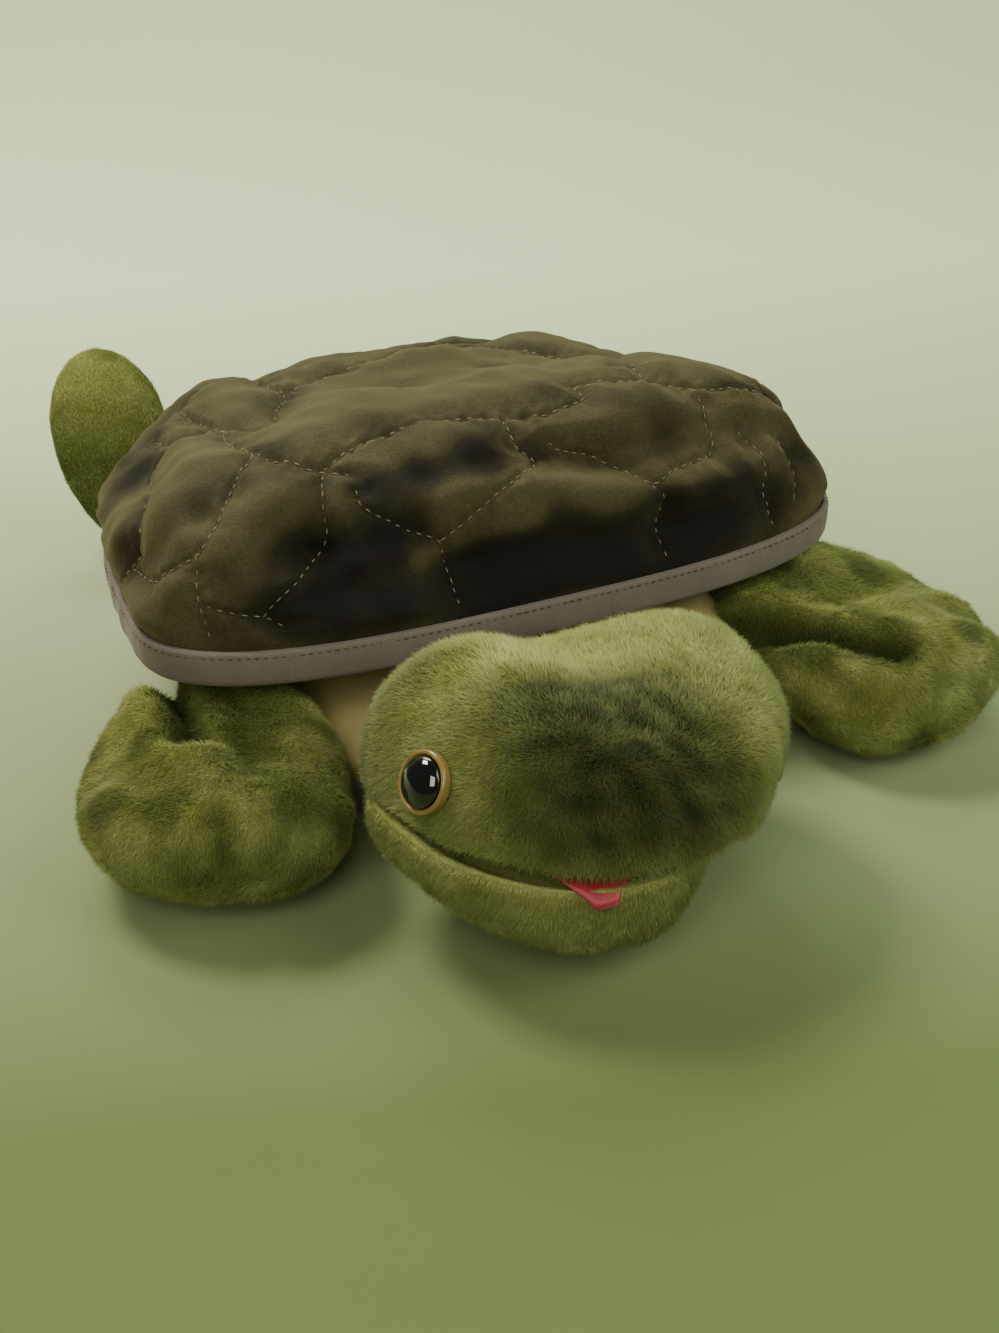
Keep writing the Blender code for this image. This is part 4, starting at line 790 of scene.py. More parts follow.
plush, tree, shader = material("cut polyester pile", Roughness=0.62, Specular_IOR_Level=0.22,
                               Sheen_Weight=0.25, Sheen_Roughness=0.5,
                               Sheen_Tint=linear("c8d0a8"))
tint = node(tree, "Attribute", {}, attribute_name="tint")
tree.links.new(tint.outputs["Color"], shader.inputs["Base Color"])
backing, tree, shader = material("plush knit backing", Roughness=0.9, Specular_IOR_Level=0.1)
tint = node(tree, "Attribute", {}, attribute_name="tint")
tuft = noise(tree, 1.1 * MM, 3.0)
tree.links.new(mixed(tree, 0.6, tint.outputs["Color"], tuft, "OVERLAY"),
               shader.inputs["Base Color"])
dimpled(tree, shader, tuft, 0.7, 0.8 * MM)


def sow(points, faces, count, seed):
    """Roots spread evenly over a skin, by area, with the skin's smooth normals there."""
    corners = np.concatenate([block[:, [0, 1, 2]] if block.shape[1] == 3 else
                              np.concatenate([block[:, [0, 1, 2]], block[:, [0, 2, 3]]])
                              for block in faces])
    a, b, c = (points[corners[:, k]] for k in range(3))
    cross = np.cross(b - a, c - a)
    if np.einsum("ij,ij->", a, np.cross(b, c)) < 0:
        cross = -cross
    normals = np.zeros_like(points)
    for k in range(3):
        np.add.at(normals, corners[:, k], cross)
    normals = unit(normals)
    area = np.linalg.norm(cross, axis=1)
    random = np.random.default_rng(seed)
    chosen = np.searchsorted(np.cumsum(area), random.uniform(0, area.sum(), count))
    first, second = random.random((2, count))
    over = first + second > 1
    first, second = np.where(over, 1 - first, first), np.where(over, 1 - second, second)
    weights = np.stack([1 - first - second, first, second], 1)[..., None]
    picked = corners[chosen]
    return (points[picked] * weights).sum(1), unit((normals[picked] * weights).sum(1))


def where(keep, *arrays):
    """The rows of some arrays where keep is set."""
    return [array[keep] for array in arrays]


def turned_by(vectors, matrix):
    """Directions in a piece's own frame, in the row frame."""
    return vectors @ np.array(matrix.to_3x3()).T


def to_world(points, matrix):
    """Points of a piece's own frame, in the row frame."""
    return turned_by(points, matrix) + np.array(matrix.translation)


def pile_of(name, matrix, roots, normals, nap, lean, length, tips, seed, body):
    """Pile as closed three-sided spikes, from roots in a form's own frame. Each leans from
    the normal towards the nap by its own angle; a slow ripple turns whole patches together,
    as brushed plush lies."""
    roots = to_world(roots, matrix)
    normals, nap = turned_by(normals, matrix), turned_by(nap, matrix)
    random = np.random.default_rng(seed)
    count = len(roots)
    drift = np.stack([ripple(roots, 14 * MM, seed + k) for k in (1, 2, 3)], -1)
    stray = random.normal(size=(count, 3))
    way = nap + 0.40 * drift + 0.22 * stray
    way = unit(way - normals * (way * normals).sum(1)[:, None])
    angle = lean + 0.16 * ripple(roots, 9 * MM, seed + 5) + random.normal(0, 0.13, count)
    way = normals * np.cos(angle)[:, None] + way * np.sin(angle)[:, None]
    reach = length * random.uniform(0.72, 1.12, count)
    reach *= 1 + 0.12 * ripple(roots, 7 * MM, seed + 6)
    side = unit(np.cross(way, stray + 0.01))
    other = np.cross(way, side)
    foot = roots - normals * 0.5 * MM
    corners = [foot + (side * math.cos(bend) + other * math.sin(bend)) * STRAND_WIDTH / 2
               for bend in (0, 2 * math.pi / 3, 4 * math.pi / 3)]
    points = np.stack([*corners, foot + way * reach[:, None]], 1).reshape(-1, 3)
    first = np.arange(count)[:, None, None] * 4
    faces = (first + np.array([[0, 1, 3], [1, 2, 3], [2, 0, 3], [2, 1, 0]])).reshape(-1, 3)
    shade = random.uniform(0.84, 1.14, count)[:, None]
    tint = np.empty((count, 4, 3))
    tint[:, :3] = (tips * 0.62 * shade)[:, None]
    tint[:, 3] = tips * shade
    made = piece(name, points, [faces], plush, tint=tint.reshape(-1, 3))
    sewn(made, body, "green_plush")


def mix(low, high, share):
    """Two colours mixed by a share for each point."""
    return low + (high - low) * np.clip(share, 0, 1)[..., None]


def dappled(points, pale, coarse, size, fine, grain, seed):
    """Green turned paler by a share, with a coarse and a fine ripple."""
    return mix(PLUSH_MID, PLUSH_TIP, pale + coarse * ripple(points, size, seed)
               + fine * ripple(points, grain, seed + 1))


# The head: a stuffed plush skull with two soft brows and full cheeks, lying askew with its
# right cheek lifted. Its pile is short and thick, dark on the forehead.
HEAD_MIDDLE = Vector((-26 * MM, -196 * MM, 0))
HEAD_TURN = math.radians(3)
HEAD_TILT = math.radians(6)
HEAD_ROLL = math.radians(12)
HEAD_ROLL_LEVEL = 40 * MM
HEAD_HALF_WIDTH = 66 * MM
HEAD_HALF_LENGTH = 52 * MM
HEAD_TOP = 81 * MM
CHIN_LEVEL = 6.5 * MM
MOUTH_LEVEL = 36 * MM
MOUTH_HINGE_BACK = 51 * MM
MOUTH_GAPE = 4.5 * MM
JAW_HALF_WIDTH = 60 * MM
JAW_SIDE = -7 * MM
JAW_INSET = 5.5 * MM
SKULL_PLACES = np.array([-.97, -.86, -.62, -.28, .12, .52, .80, .94])
SKULL_WIDTHS = np.array([.34, .57, .81, .96, 1.00, .98, .80, .46])
SKULL_RISES = np.array([.48, .66, .81, .95, 1.00, .98, .85, .54])
SKULL_FALLS = np.array([.62, .88, .98, 1.00, 1.00, .98, .80, .48])
SKULL_WINDOW = 0.15
SKULL_POWER = 0.72
# The two brows and the dip between them: place across, half width, rise
BROWS = ((-40 * MM, 21 * MM, 4.5 * MM), (40 * MM, 22 * MM, 6 * MM), (-8 * MM, 13 * MM, -3 * MM))
BROW_BACK = 18 * MM
BROW_LENGTH = 46 * MM
BROW_LIFT = 7 * MM
BROW_SPREAD = 7 * MM
CHEEK_TUCK = 11 * MM
CHEEK_SWELL = 4.5 * MM
LIP_LIFT = 8 * MM
JAW_SLIP = np.array([-3.5 * MM, -3.5 * MM, 0])
SKULL_COLUMNS = 150
SKULL_ROWS = 120
head_frame = Matrix.Translation(HEAD_MIDDLE) @ Matrix.Rotation(HEAD_TURN, 4, "Z") \
    @ Matrix.Rotation(-HEAD_TILT, 4, "X") @ Matrix.Translation((0, 0, HEAD_ROLL_LEVEL)) \
    @ Matrix.Rotation(HEAD_ROLL, 4, "Y") @ Matrix.Translation((0, 0, -HEAD_ROLL_LEVEL))
jaw_frame = head_frame @ Matrix.Translation((JAW_SIDE, MOUTH_HINGE_BACK, MOUTH_LEVEL)) \
    @ Matrix.Rotation(math.atan(MOUTH_GAPE / (HEAD_HALF_LENGTH + MOUTH_HINGE_BACK)), 4, "X")


def closing(place):
    """How a stuffed form closes at its ends, -1 and 1: (1 - |place|^2.4)^0.42."""
    return np.clip(1 - np.abs(place) ** 2.4, 0, 1) ** 0.42


def shaped(place, places, shares, window, low=-1, high=1):
    """Chosen shares along a stuffed form that closes at low and high: each is divided by the
    closing law, joined smoothly and multiplied back."""
    law, now = (closing((2 * spots - low - high) / (high - low)) for spots in (places, place))
    return [now * eased(place, places, share / law, window) for share in shares]


def skull(place, turn, shrink, half_width):
    """The skull in its own frame: a superellipse of power 2 / 0.72 across, taller above the
    mouth than below it, with two brows and a dip between them, each exp(-((x - x0) / w)^2)."""
    width, rise, fall = shaped(place, SKULL_PLACES, (SKULL_WIDTHS, SKULL_RISES, SKULL_FALLS),
                               SKULL_WINDOW)
    drawn = shrink * (width > 0.05)
    y = place * (HEAD_HALF_LENGTH - shrink)
    cosine, sine = np.cos(turn), np.sin(turn)
    x = np.maximum(half_width * width - drawn, 0) * squared(cosine, SKULL_POWER)
    tall = np.maximum(np.where(sine > 0, (HEAD_TOP - MOUTH_LEVEL) * rise,
                               (MOUTH_LEVEL - CHIN_LEVEL) * fall) - drawn, 0)
    z = MOUTH_LEVEL + tall * squared(sine, SKULL_POWER)
    near = bell(y, BROW_BACK, BROW_LENGTH) * np.clip(sine * 2, 0, 1)
    brows = sum(swell * bell(x, side, wide) for side, wide, swell in BROWS)
    return np.stack([x, y, z + near * brows], -1)


def settled(points):
    """How the stuffing lies. On the toy's left the brow stands BROW_LIFT higher and BROW_SPREAD
    further out, the cheek and the jaw are drawn in by CHEEK_TUCK below and in front, and the
    lips rise by LIP_LIFT. On its right the cheek swells by CHEEK_SWELL behind the eye."""
    x, y, z = points[..., 0], points[..., 1], points[..., 2]
    left, high = past(x, 24 * MM, 9 * MM), past(z, 60 * MM, 8 * MM)
    right, ahead = past(x, -34 * MM, -8 * MM), past(y, 12 * MM, -14 * MM)
    cheek = right * bell(z, 62 * MM, 18 * MM) * (1 - ahead)
    moved = points.copy()
    moved[..., 0] += left * (BROW_SPREAD * high - CHEEK_TUCK * (1 - high) * ahead)
    moved[..., 0] -= CHEEK_SWELL * cheek
    moved[..., 2] += BROW_LIFT * left * high
    moved[..., 2] += LIP_LIFT * bell(z, MOUTH_LEVEL, 20 * MM) * ahead * past(x, 12 * MM, 9 * MM)
    return moved


def half_skull(low, high, shrink, half_width, face_level, pocket):
    """Half of the skull as a closed form: its rings from turn low to high, then back across
    the mouth at face_level, with a shallow pocket for the satin."""
    place = -np.cos(np.linspace(0.05, math.pi - 0.05, SKULL_ROWS))
    turn = np.linspace(low, high, SKULL_COLUMNS)
    places, turns = np.meshgrid(place, turn, indexing="ij")
    shell = skull(places, turns, shrink, half_width)
    shell[:, [0, -1], 2] = face_level
    lip = np.linspace(0, 1, 32)[1:-1]
    start, end = shell[:, -1:], shell[:, :1]
    floor = start + (end - start) * lip[None, :, None]
    edge = np.minimum(lip, 1 - lip)[None] * np.linalg.norm(end - start, axis=-1)
    ends = np.minimum(place + 1, 1 - place)[:, None] * HEAD_HALF_LENGTH
    inside = rising(np.minimum(edge, ends), 4 * MM, 3 * MM)
    floor[..., 2] = face_level + pocket * inside ** 2 * (3 - 2 * inside)
    return settled(np.concatenate([shell, floor], 1))


def head_tint(points):
    """The pile's colour in the head's frame: olive green, darkest over the forehead and the
    nose, paler on the crown, the cheeks and the lips, with painted shade in the dent behind
    the right cheek."""
    x, y, z = points[..., 0] / MM, points[..., 1] / MM, points[..., 2] / MM
    across = ((x + 14) / 39) ** 4 + ((z - 63) / 25) ** 4
    patch = np.exp(-across ** 1.2) * rising(y, 6, -16)
    base = dappled(points, 0.55, 0.30, 24 * MM, 0.15, 9 * MM, 61)
    forehead = mix(PLUSH_DARK, PLUSH_ROOT, np.full(patch.shape, 0.75))
    base = mix(base, forehead, patch * (0.88 + 0.12 * ripple(points, 12 * MM, 63)))
    # Painted shade in the dent behind the right cheek.
    crease = bell(y, 20, 7) * bell(x, -54, 12)
    return mix(base, PLUSH_ROOT, 0.6 * crease)


def plump(grid, amount, size, seed):
    """The slight lumps of a stuffed form."""
    return grid + outward(grid) * (amount * ripple(grid, size, seed))[..., None]


def stuffed(name, grid, matrix, colours, body, replaced):
    """A stuffed form from its own frame's rings, in place, with its backing's colour."""
    points, faces = capped(grid)
    made = piece(name, to_world(points, matrix), faces, backing, tint=colours(points) * 0.5)
    sewn(made, body, "green_plush", *replaced)
    return points, faces


UPPER_FACE = MOUTH_LEVEL + 0.3 * MM
head_grid = half_skull(0, math.pi, 1.5 * MM, HEAD_HALF_WIDTH, UPPER_FACE, 2.0 * MM)
x, y, z = np.moveaxis(head_grid, -1, 0)
cheek = bell(y, 20 * MM, 5 * MM) * bell(x, -52 * MM, 16 * MM) * bell(z, 68 * MM, 18 * MM)
head_grid = head_grid - outward(head_grid) * (3.5 * MM * cheek)[..., None]
head_points, head_faces = stuffed("head_plush", head_grid, head_frame, head_tint, "head",
                                  ("head_skin", "head_stuffing"))

# Both halves of the mouth are faced with red satin over stiff board, and a red tongue lies
# loose between them.
satin = mottled("red satin", "8c1424", "b4263a", 6 * MM, 4.0, Base_Color=linear("a01c2c"),
                Roughness=0.42, Sheen_Weight=0.2, Anisotropic=0.3)
SATIN_COLUMNS = 120


def satin_sheet(half_width, shrink, low, high):
    """A flat sheet of the mouth's outline, an ellipse drawn in by shrink, with soft edges."""
    insets = np.array([40, 20, 6, 0.4, 0, 0, 0.4, 6, 20, 40]) * MM
    levels = np.concatenate([np.full(4, low), [low + 0.3 * MM, high - 0.3 * MM],
                             np.full(4, high)])
    cosine, sine = circle(SATIN_COLUMNS)
    return settled(np.array([
        np.stack([cosine * (half_width - shrink - inset),
                  sine * (HEAD_HALF_LENGTH - shrink - min(inset, 38 * MM)),
                  np.full(SATIN_COLUMNS, level)], 1) for inset, level in zip(insets, levels)]))


# The jaw: the lower half of the same form, a little narrower, hinged at the back of the mouth.
LOWER_FACE = MOUTH_LEVEL - 0.3 * MM
jaw_shift = np.array([0, MOUTH_HINGE_BACK, MOUTH_LEVEL])


def jaw_tint(points):
    """Paler than the head as painted light, light along the lip, and painted darker towards its
    underside as painted shade.
    """
    at_head = points + jaw_shift
    base = dappled(points, 0.85, 0.25, 20 * MM, 0.15, 8 * MM, 65)
    # Painted shade: darker below 16 mm up in the head's frame, towards the floor.
    return mix(base, PLUSH_DARK, 0.6 * rising(at_head[..., 2], 16 * MM, -16 * MM))


jaw_grid = half_skull(math.pi, 2 * math.pi, JAW_INSET, JAW_HALF_WIDTH, LOWER_FACE,
                      -2.0 * MM) + JAW_SLIP - jaw_shift
jaw_points, jaw_faces = stuffed("jaw_plush", jaw_grid, jaw_frame, jaw_tint, "jaw",
                                ("jaw_skin", "jaw_stuffing"))


def mouth_piece(name, rings, matrix, body, replaced):
    """A piece of red satin in the mouth, from its own frame's rings."""
    made = piece(name, *capped(rings), satin)
    made.data.transform(matrix)
    return sewn(made, body, "red_cloth", replaced)


upper_satin = mouth_piece(
    "upper_mouth_satin",
    satin_sheet(HEAD_HALF_WIDTH, 14 * MM, UPPER_FACE, UPPER_FACE + 1.2 * MM),
    head_frame, "head", "upper_mouth_lining")
lower_satin = mouth_piece(
    "lower_mouth_satin",
    satin_sheet(JAW_HALF_WIDTH, 18 * MM, LOWER_FACE - 1.2 * MM, LOWER_FACE) + JAW_SLIP - jaw_shift,
    jaw_frame, "jaw", "lower_mouth_lining")

TONGUE_SIDE = -13 * MM
TONGUE_HALF = 15 * MM
TONGUE_LENGTH = 42 * MM
TONGUE_OUT = -4 * MM
along = np.linspace(0.02, 1, 40)
tongue_width = TONGUE_HALF * eased(along, [0, .3, .6, .86, 1], [.62, .86, 1, .76, .22], 0.06)
tongue_y = -HEAD_HALF_LENGTH - TONGUE_OUT + TONGUE_LENGTH * (1 - along)
tongue_drop = -4.2 * MM * rising(along, 0.80, 0.2) ** 1.6
cosine, sine = circle(28)
tongue_x = TONGUE_SIDE + tongue_width[:, None] * cosine
bulge = (0.9 + 0.5 * np.abs(cosine)) * MM
tongue_z = (LOWER_FACE + 1.5 * MM + tongue_drop[:, None] + bulge * sine
            + 1.0 * MM * np.cos(tongue_x / (14 * MM) * math.pi))
tongue_rings = np.stack(np.broadcast_arrays(tongue_x, tongue_y[:, None], tongue_z), -1)
tongue = mouth_piece("felt_tongue", settled(tongue_rings) + JAW_SLIP - jaw_shift, jaw_frame,
                     "jaw", "tongue")

# Safety eyes: a turned amber ring with a glossy black dome, each held from inside by a ribbed
# shank and a nylon washer.
amber = mottled("amber eye plastic", "6f5b2c", "a08a50", 5 * MM, 3.0,
                Base_Color=linear("8d7540"), Roughness=0.22, Coat_Weight=0.5,
                Coat_Roughness=0.05, IOR=1.49)
jet, _, _ = material("black eye plastic", Base_Color=linear("08090c"), Roughness=0.05,
                     Coat_Weight=1.0, Coat_Roughness=0.02, IOR=1.52)
EYE_STEPS = 96
EYE_CLEAR = 7.8 * MM           # no pile is rooted closer to an eye's middle


def turned(name, profile, centre, axis, paint, replaced, slot):
    """A profile of radius and height, in millimetres, turned about an axis."""
    profile = np.asarray(profile) * MM
    cosine, sine = circle(EYE_STEPS)
    side = np.array(axis.orthogonal().normalized())
    other = np.cross(np.array(axis), side)
    rings = (np.array(centre) + profile[:, None, 1:] * np.array(axis)
             + profile[:, None, :1] * (cosine[:, None] * side + sine[:, None] * other))
    sewn(piece(name, *capped(rings), paint), "head", slot, replaced)


def points_of(name):
    """The points of a CAD node."""
    return [vert.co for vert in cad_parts[name].data.vertices]


def middle_of(name):
    """The mean of a CAD node's points."""
    points = points_of(name)
    return sum(points, Vector()) / len(points)


turn, lip = np.linspace(0, math.pi / 2, 14), np.linspace(0, math.pi, 10)
dome_profile = [(7.2, 0.0), *zip(7.75 * np.cos(turn[:-1]), 0.5 + 3.9 * np.sin(turn[:-1])),
                (0.2, 4.4)]
ring_profile = [(2.0, -14), (2.0, -2.2), (9.3, -2.2), (9.5, -1.6),
                *zip(8.7 + 0.8 * np.cos(lip), 0.4 + 0.7 * np.sin(lip)), (7.9, -0.25), (0.3, -0.25)]
eyes = []
for side, sunk in (("right", 0.5 * MM), ("left", 5 * MM)):
    centre = middle_of("eye_pupil_" + side)
    axis = (centre - middle_of("eye_washer_" + side)).normalized()
    seat = min(co.dot(axis) for co in points_of("eye_pupil_" + side))
    centre = centre + axis * (seat - sunk - centre.dot(axis))
    eyes.append(np.array(centre))
    turned("eye_dome_" + side, dome_profile, centre, axis, jet, "eye_pupil_" + side,
           "black_plastic")
    turned("eye_ring_" + side, ring_profile, centre, axis, amber, "eye_cup_" + side,
           "amber_plastic")

# Pile over the head and the jaw, brushed back from the nose and down over the lips.
for number, name in enumerate(("head_pile_under", "head_pile_middle", "head_pile_over")):
    roots, normals = sow(head_points, head_faces, STRANDS, 71 + number)
    keep = (normals[:, 2] > -0.55) | (roots[:, 2] > UPPER_FACE + 9 * MM)
    for eye in eyes:
        keep &= np.linalg.norm(to_world(roots, head_frame) - eye, axis=1) > EYE_CLEAR
    roots, normals = where(keep, roots, normals)
    x, y, z = roots.T
    nap = np.stack([0.35 * np.clip(x / (40 * MM), -1, 1),
                    0.55 - 0.9 * rising(y, -20 * MM, -20 * MM),
                    np.full(len(roots), -0.75)], 1)
    patch = np.exp(-(((x + 1 * MM) / (38 * MM)) ** 4 + ((z - 58 * MM) / (22 * MM)) ** 4))
    pile_of(name, head_frame, roots, normals, nap, 0.95 - 0.45 * patch, PILE, head_tint(roots),
            81 + 10 * number, "head")

for number, name in enumerate(("jaw_pile_under", "jaw_pile_over")):
    roots, normals = sow(jaw_points, jaw_faces, STRANDS, 74 + number)
    roots, normals = where((normals[:, 2] < 0.55) | (roots[:, 2] < -9 * MM), roots, normals)
    nap = np.stack([roots[:, 0] / (80 * MM), np.full(len(roots), -0.15),
                    np.full(len(roots), -0.9)], 1)
    clear = np.clip((to_world(roots, jaw_frame)[:, 2] - 1.5 * MM) / (5 * MM), 0.15, 1)
    pile_of(name, jaw_frame, roots, normals, nap, 1.0, PILE * clear, jaw_tint(roots),
            115 + 10 * number, "jaw")

# The neck: a short plush sleeve from the front of the belly into the back of the head.
NECK_MIDDLE = Vector((-26 * MM, -132.9 * MM, 31 * MM))
NECK_LENGTH = 20 * MM
NECK_WALL = 2.6 * MM
NECK_HALF_WIDTH = 49 * MM
NECK_HALF_HEIGHT = 21 * MM
cosine, sine = circle(120)
places = np.linspace(0, NECK_LENGTH, 40)[:, None]
rings = np.concatenate([np.stack(np.broadcast_arrays(
    NECK_MIDDLE.x + (NECK_HALF_WIDTH - wall) * cosine, NECK_MIDDLE.y - run,
    NECK_MIDDLE.z + (NECK_HALF_HEIGHT - wall) * sine), -1)
    for wall, run in ((0, places), (NECK_WALL, places[::-1]))])
neck_points, neck_faces = looped(rings)
neck_tints = mix(PLUSH_DARK, PLUSH_MID, 0.5 + 0.3 * ripple(neck_points, 12 * MM, 91))
neck = piece("neck_plush", neck_points, neck_faces, backing, tint=neck_tints * 0.6)
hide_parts("neck_sleeve")
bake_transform(neck)

# Front flippers: slack plush mitts, each sewn to the belly's side by a rounded seam, with a
# deep fold where it turns.
FRONT_PLACES = np.array([-.24, -.10, .18, .42, .66, .88, .98])
FRONT_WIDTHS = np.array([.30, .64, .96, 1.02, .98, .82, .48])
FRONT_HEIGHTS = np.array([.66, .76, .86, .98, .96, .78, .46])
FRONT_LEANS = np.array([.00, .00, .06, .02, -.03, -.06, -.06])
FRONT_MIDDLE = 24 * MM
SHOULDER_SIDE = 110.331 * MM
SHOULDER_AHEAD = 84 * MM
FRONT_HALF_HEIGHT = 23 * MM
FRONT_LOW, FRONT_HIGH = -0.29, 1.01
LIMB_POWER = 0.9
LIMB_ROWS = 96
LIMB_COLUMNS = 120
# name, side, splay in degrees, half width, length, slip inwards, lift in front, and the
# folds in millimetres: x and y across the mitt, depth and width
MITTS = (
    ("right", -1, -22, 40.5 * MM, 86 * MM, 2 * MM, 3 * MM, (
        (((-18, 14), (-15, 2), (-9, -20), (-5, -42)), 9.5, 5.0),
        (((6, -8), (12, -30), (18, -56)), 5.5, 11.0),
        (((-30, -50), (-16, -64), (4, -72)), 2.5, 8.0),
        (((6, -80), (9, -92)), 4.0, 3.5))),
    ("left", 1, 8, 42 * MM, 99 * MM, 0, 0, (
        (((-42, -22), (-33, -38), (-26, -55), (-22, -71), (-15, -82)), 10.5, 4.6),
        (((-4, -20), (6, -44), (18, -60)), 2.5, 9.0),
        (((26, -70), (38, -78)), 3.0, 5.0))),
)


def polyline_gap(points, line):
    """Distance in plan from each point to a polyline."""
    best = np.full(points.shape[:-1], 1.0)
    for start, end in zip(line, line[1:]):
        start, way = np.array(start) * MM, (np.array(end) - np.array(start)) * MM
        share = np.clip(((points[..., :2] - start) @ way) / (way @ way), 0, 1)
        best = np.minimum(best, np.linalg.norm(points[..., :2] - start - share[..., None] * way,
                                               axis=-1))
    return best


def limb(low, high, places, *shares, window=0.1, rows=LIMB_ROWS, start=0.06):
    """Places along a limb, closer together at its two ends, and its shares there."""
    step = np.linspace(start, math.pi - start, rows)
    place = low + (high - low) * (1 - np.cos(step)) / 2
    return place, *shaped(place, places, shares, window, low, high)


def mitt(side, half_width, length, slip, lift, folds):
    """A front flipper along its own -Y: superellipse sections of power 2 / 0.9 whose width,
    height and lean follow chosen shares, raised a little in front and creased along its
    folds."""
    place, width, height = limb(FRONT_LOW, FRONT_HIGH, FRONT_PLACES, FRONT_WIDTHS,
                                FRONT_HEIGHTS)
    lean = side * (half_width * eased(place, FRONT_PLACES, FRONT_LEANS, 0.1) - slip)
    cosine, sine = circle(LIMB_COLUMNS, LIMB_POWER)
    slack = 5 * MM * bell(place, 0.42, 0.14)
    tall = (FRONT_HALF_HEIGHT * height)[:, None] * sine - slack[:, None] * np.clip(sine, 0, 1)
    grid = np.stack([lean[:, None] + (half_width * width)[:, None] * cosine,
                     np.broadcast_to(-(place * length)[:, None], tall.shape),
                     FRONT_MIDDLE + lift * place[:, None] + tall], -1)
    grid = plump(grid, 0.9 * MM, 30 * MM, 111 + side)
    push = np.zeros(tall.shape)
    for line, depth, width in folds:
        gap = polyline_gap(grid, line) / MM
        push += depth * MM * (bell(gap, 0, width) - 0.25 * bell(gap, 2.2 * width, width))
    on_top = rising(grid[..., 2], FRONT_MIDDLE, 8 * MM)
    grid = grid - outward(grid) * (push * on_top)[..., None]
    grid[..., 2] = np.maximum(grid[..., 2], 0.8 * MM)
    return grid


def mitt_tint(points, folds, seed):
    """Yellowish green, paler and greyer on the crests, with painted shade in the folds and
    underneath.
    """
    base = dappled(points, 0.40, 0.35, 24 * MM, 0.18, 8 * MM, seed)
    dark = 0.75 * np.clip(ripple(points, 30 * MM, seed + 2), 0, 1)
    # Painted shade along each fold, deeper for deeper folds.
    for line, depth, width in folds:
        shadow = bell(polyline_gap(points, line) / MM, 0, 1.7 * width)
        dark = np.maximum(dark, depth / 7 * shadow)
    # Painted shade underneath, below 14 mm.
    low = rising(points[..., 2], 14 * MM, -14 * MM)
    return mix(mix(base, PLUSH_DARK, dark), PLUSH_ROOT, np.maximum(0.5 * low, dark - 0.75))


for number, (side_name, side, splay, *sizes, folds) in enumerate(MITTS):
    body = "front_flipper_" + side_name
    shoulder = Matrix.Translation((side * SHOULDER_SIDE, -SHOULDER_AHEAD, 0)) \
        @ Matrix.Rotation(math.radians(splay), 4, "Z")
    grid = mitt(side, *sizes, folds)
    tint_of = lambda points, f=folds, s=121 + 10 * number: mitt_tint(points, f, s)
    points, faces = stuffed(body + "_plush", grid, shoulder, tint_of, body,
                            (body + "_skin", body + "_stuffing"))
    for layer, over in (("under", 0), ("over", 5)):
        seed = 141 + 10 * number + over
        roots, normals = sow(points, faces, STRANDS, seed)
        roots, normals = where(roots[:, 2] > 2.2 * MM, roots, normals)
        nap = np.stack([side * 0.25 + roots[:, 0] / (60 * MM), np.full(len(roots), -0.8),
                        np.full(len(roots), -0.3)], 1)
        clear = np.clip((roots[:, 2] - 1.5 * MM) / (5 * MM), 0.2, 1)
        pile_of(body + "_pile_" + layer, shoulder, roots, normals, nap, 1.0, PILE * clear,
                tint_of(roots), 20 + seed, body)

# Rear flippers: flat leaves of short plush. The right one stands up behind the shell, and
# the left one lies back on the ground.
REAR_PLACES = np.array([-.05, .05, .24, .48, .72, .91, .99])
REAR_WIDTHS = np.array([.44, .60, .62, .84, 1.00, .74, .42])
REAR_THICKS = np.array([.62, .94, .86, .98, 1.00, .74, .42])
REAR_LOW, REAR_HIGH = -0.10, 1.02
REAR_LENGTH = 109 * MM
HIP_SIDE = 58.524 * MM
HIP_BACK = 72.831 * MM
HIP_LEVEL = 22.5 * MM
REAR_RUN = 0.36 * REAR_LENGTH
REAR_HALF_WIDTH = 25 * MM
REAR_HALF_THICK = 8.5 * MM
REAR_CUP = 3 * MM              # how far its sides curl down
REAR_BEARING = math.radians(45)
# name, side, and the rise and bearing of its outer part in degrees
LEAVES = (("right", -1, 50, -3), ("left", 1, -8, 32))
LEAF_STRANDS = 36000
LEAF_PILE = 2.2 * MM


def leaf(side, rise, back):
    """A rear flipper from its hip: level for its first third, then turned to its own bearing
    and rise, with superellipse sections square to its line."""
    out = np.array([side * math.sin(REAR_BEARING), math.cos(REAR_BEARING), 0])
    level = np.array([side * math.sin(back), math.cos(back), 0])
    beyond = level * math.cos(rise) + np.array([0, 0, math.sin(rise)])
    place, width, thick = limb(REAR_LOW, REAR_HIGH, REAR_PLACES, REAR_WIDTHS, REAR_THICKS,
                               window=0.08)
    run = place * REAR_LENGTH
    soft = 6 * MM
    after = soft * np.logaddexp(0, (run - REAR_RUN) / soft)
    centre = out * (run - after)[:, None] + beyond * after[:, None]
    share = rising(run, REAR_RUN / 2, REAR_RUN)[:, None]
    heading = unit(out * (1 - share) + beyond * share)
    across = unit(np.stack([heading[:, 1], -heading[:, 0], np.zeros(len(run))], 1))
    up = np.cross(across, heading)
    cosine, sine = circle(LIMB_COLUMNS, LIMB_POWER)
    cup = REAR_CUP * closing((2 * place - REAR_LOW - REAR_HIGH) / (REAR_HIGH - REAR_LOW))
    rise_at = REAR_HALF_THICK * thick[:, None] * sine - cup[:, None] * cosine ** 2
    grid = (centre[:, None]
            + across[:, None] * (REAR_HALF_WIDTH * width[:, None] * cosine)[..., None]
            + up[:, None] * rise_at[..., None])
    return plump(grid, 0.6 * MM, 26 * MM, 161 + side)


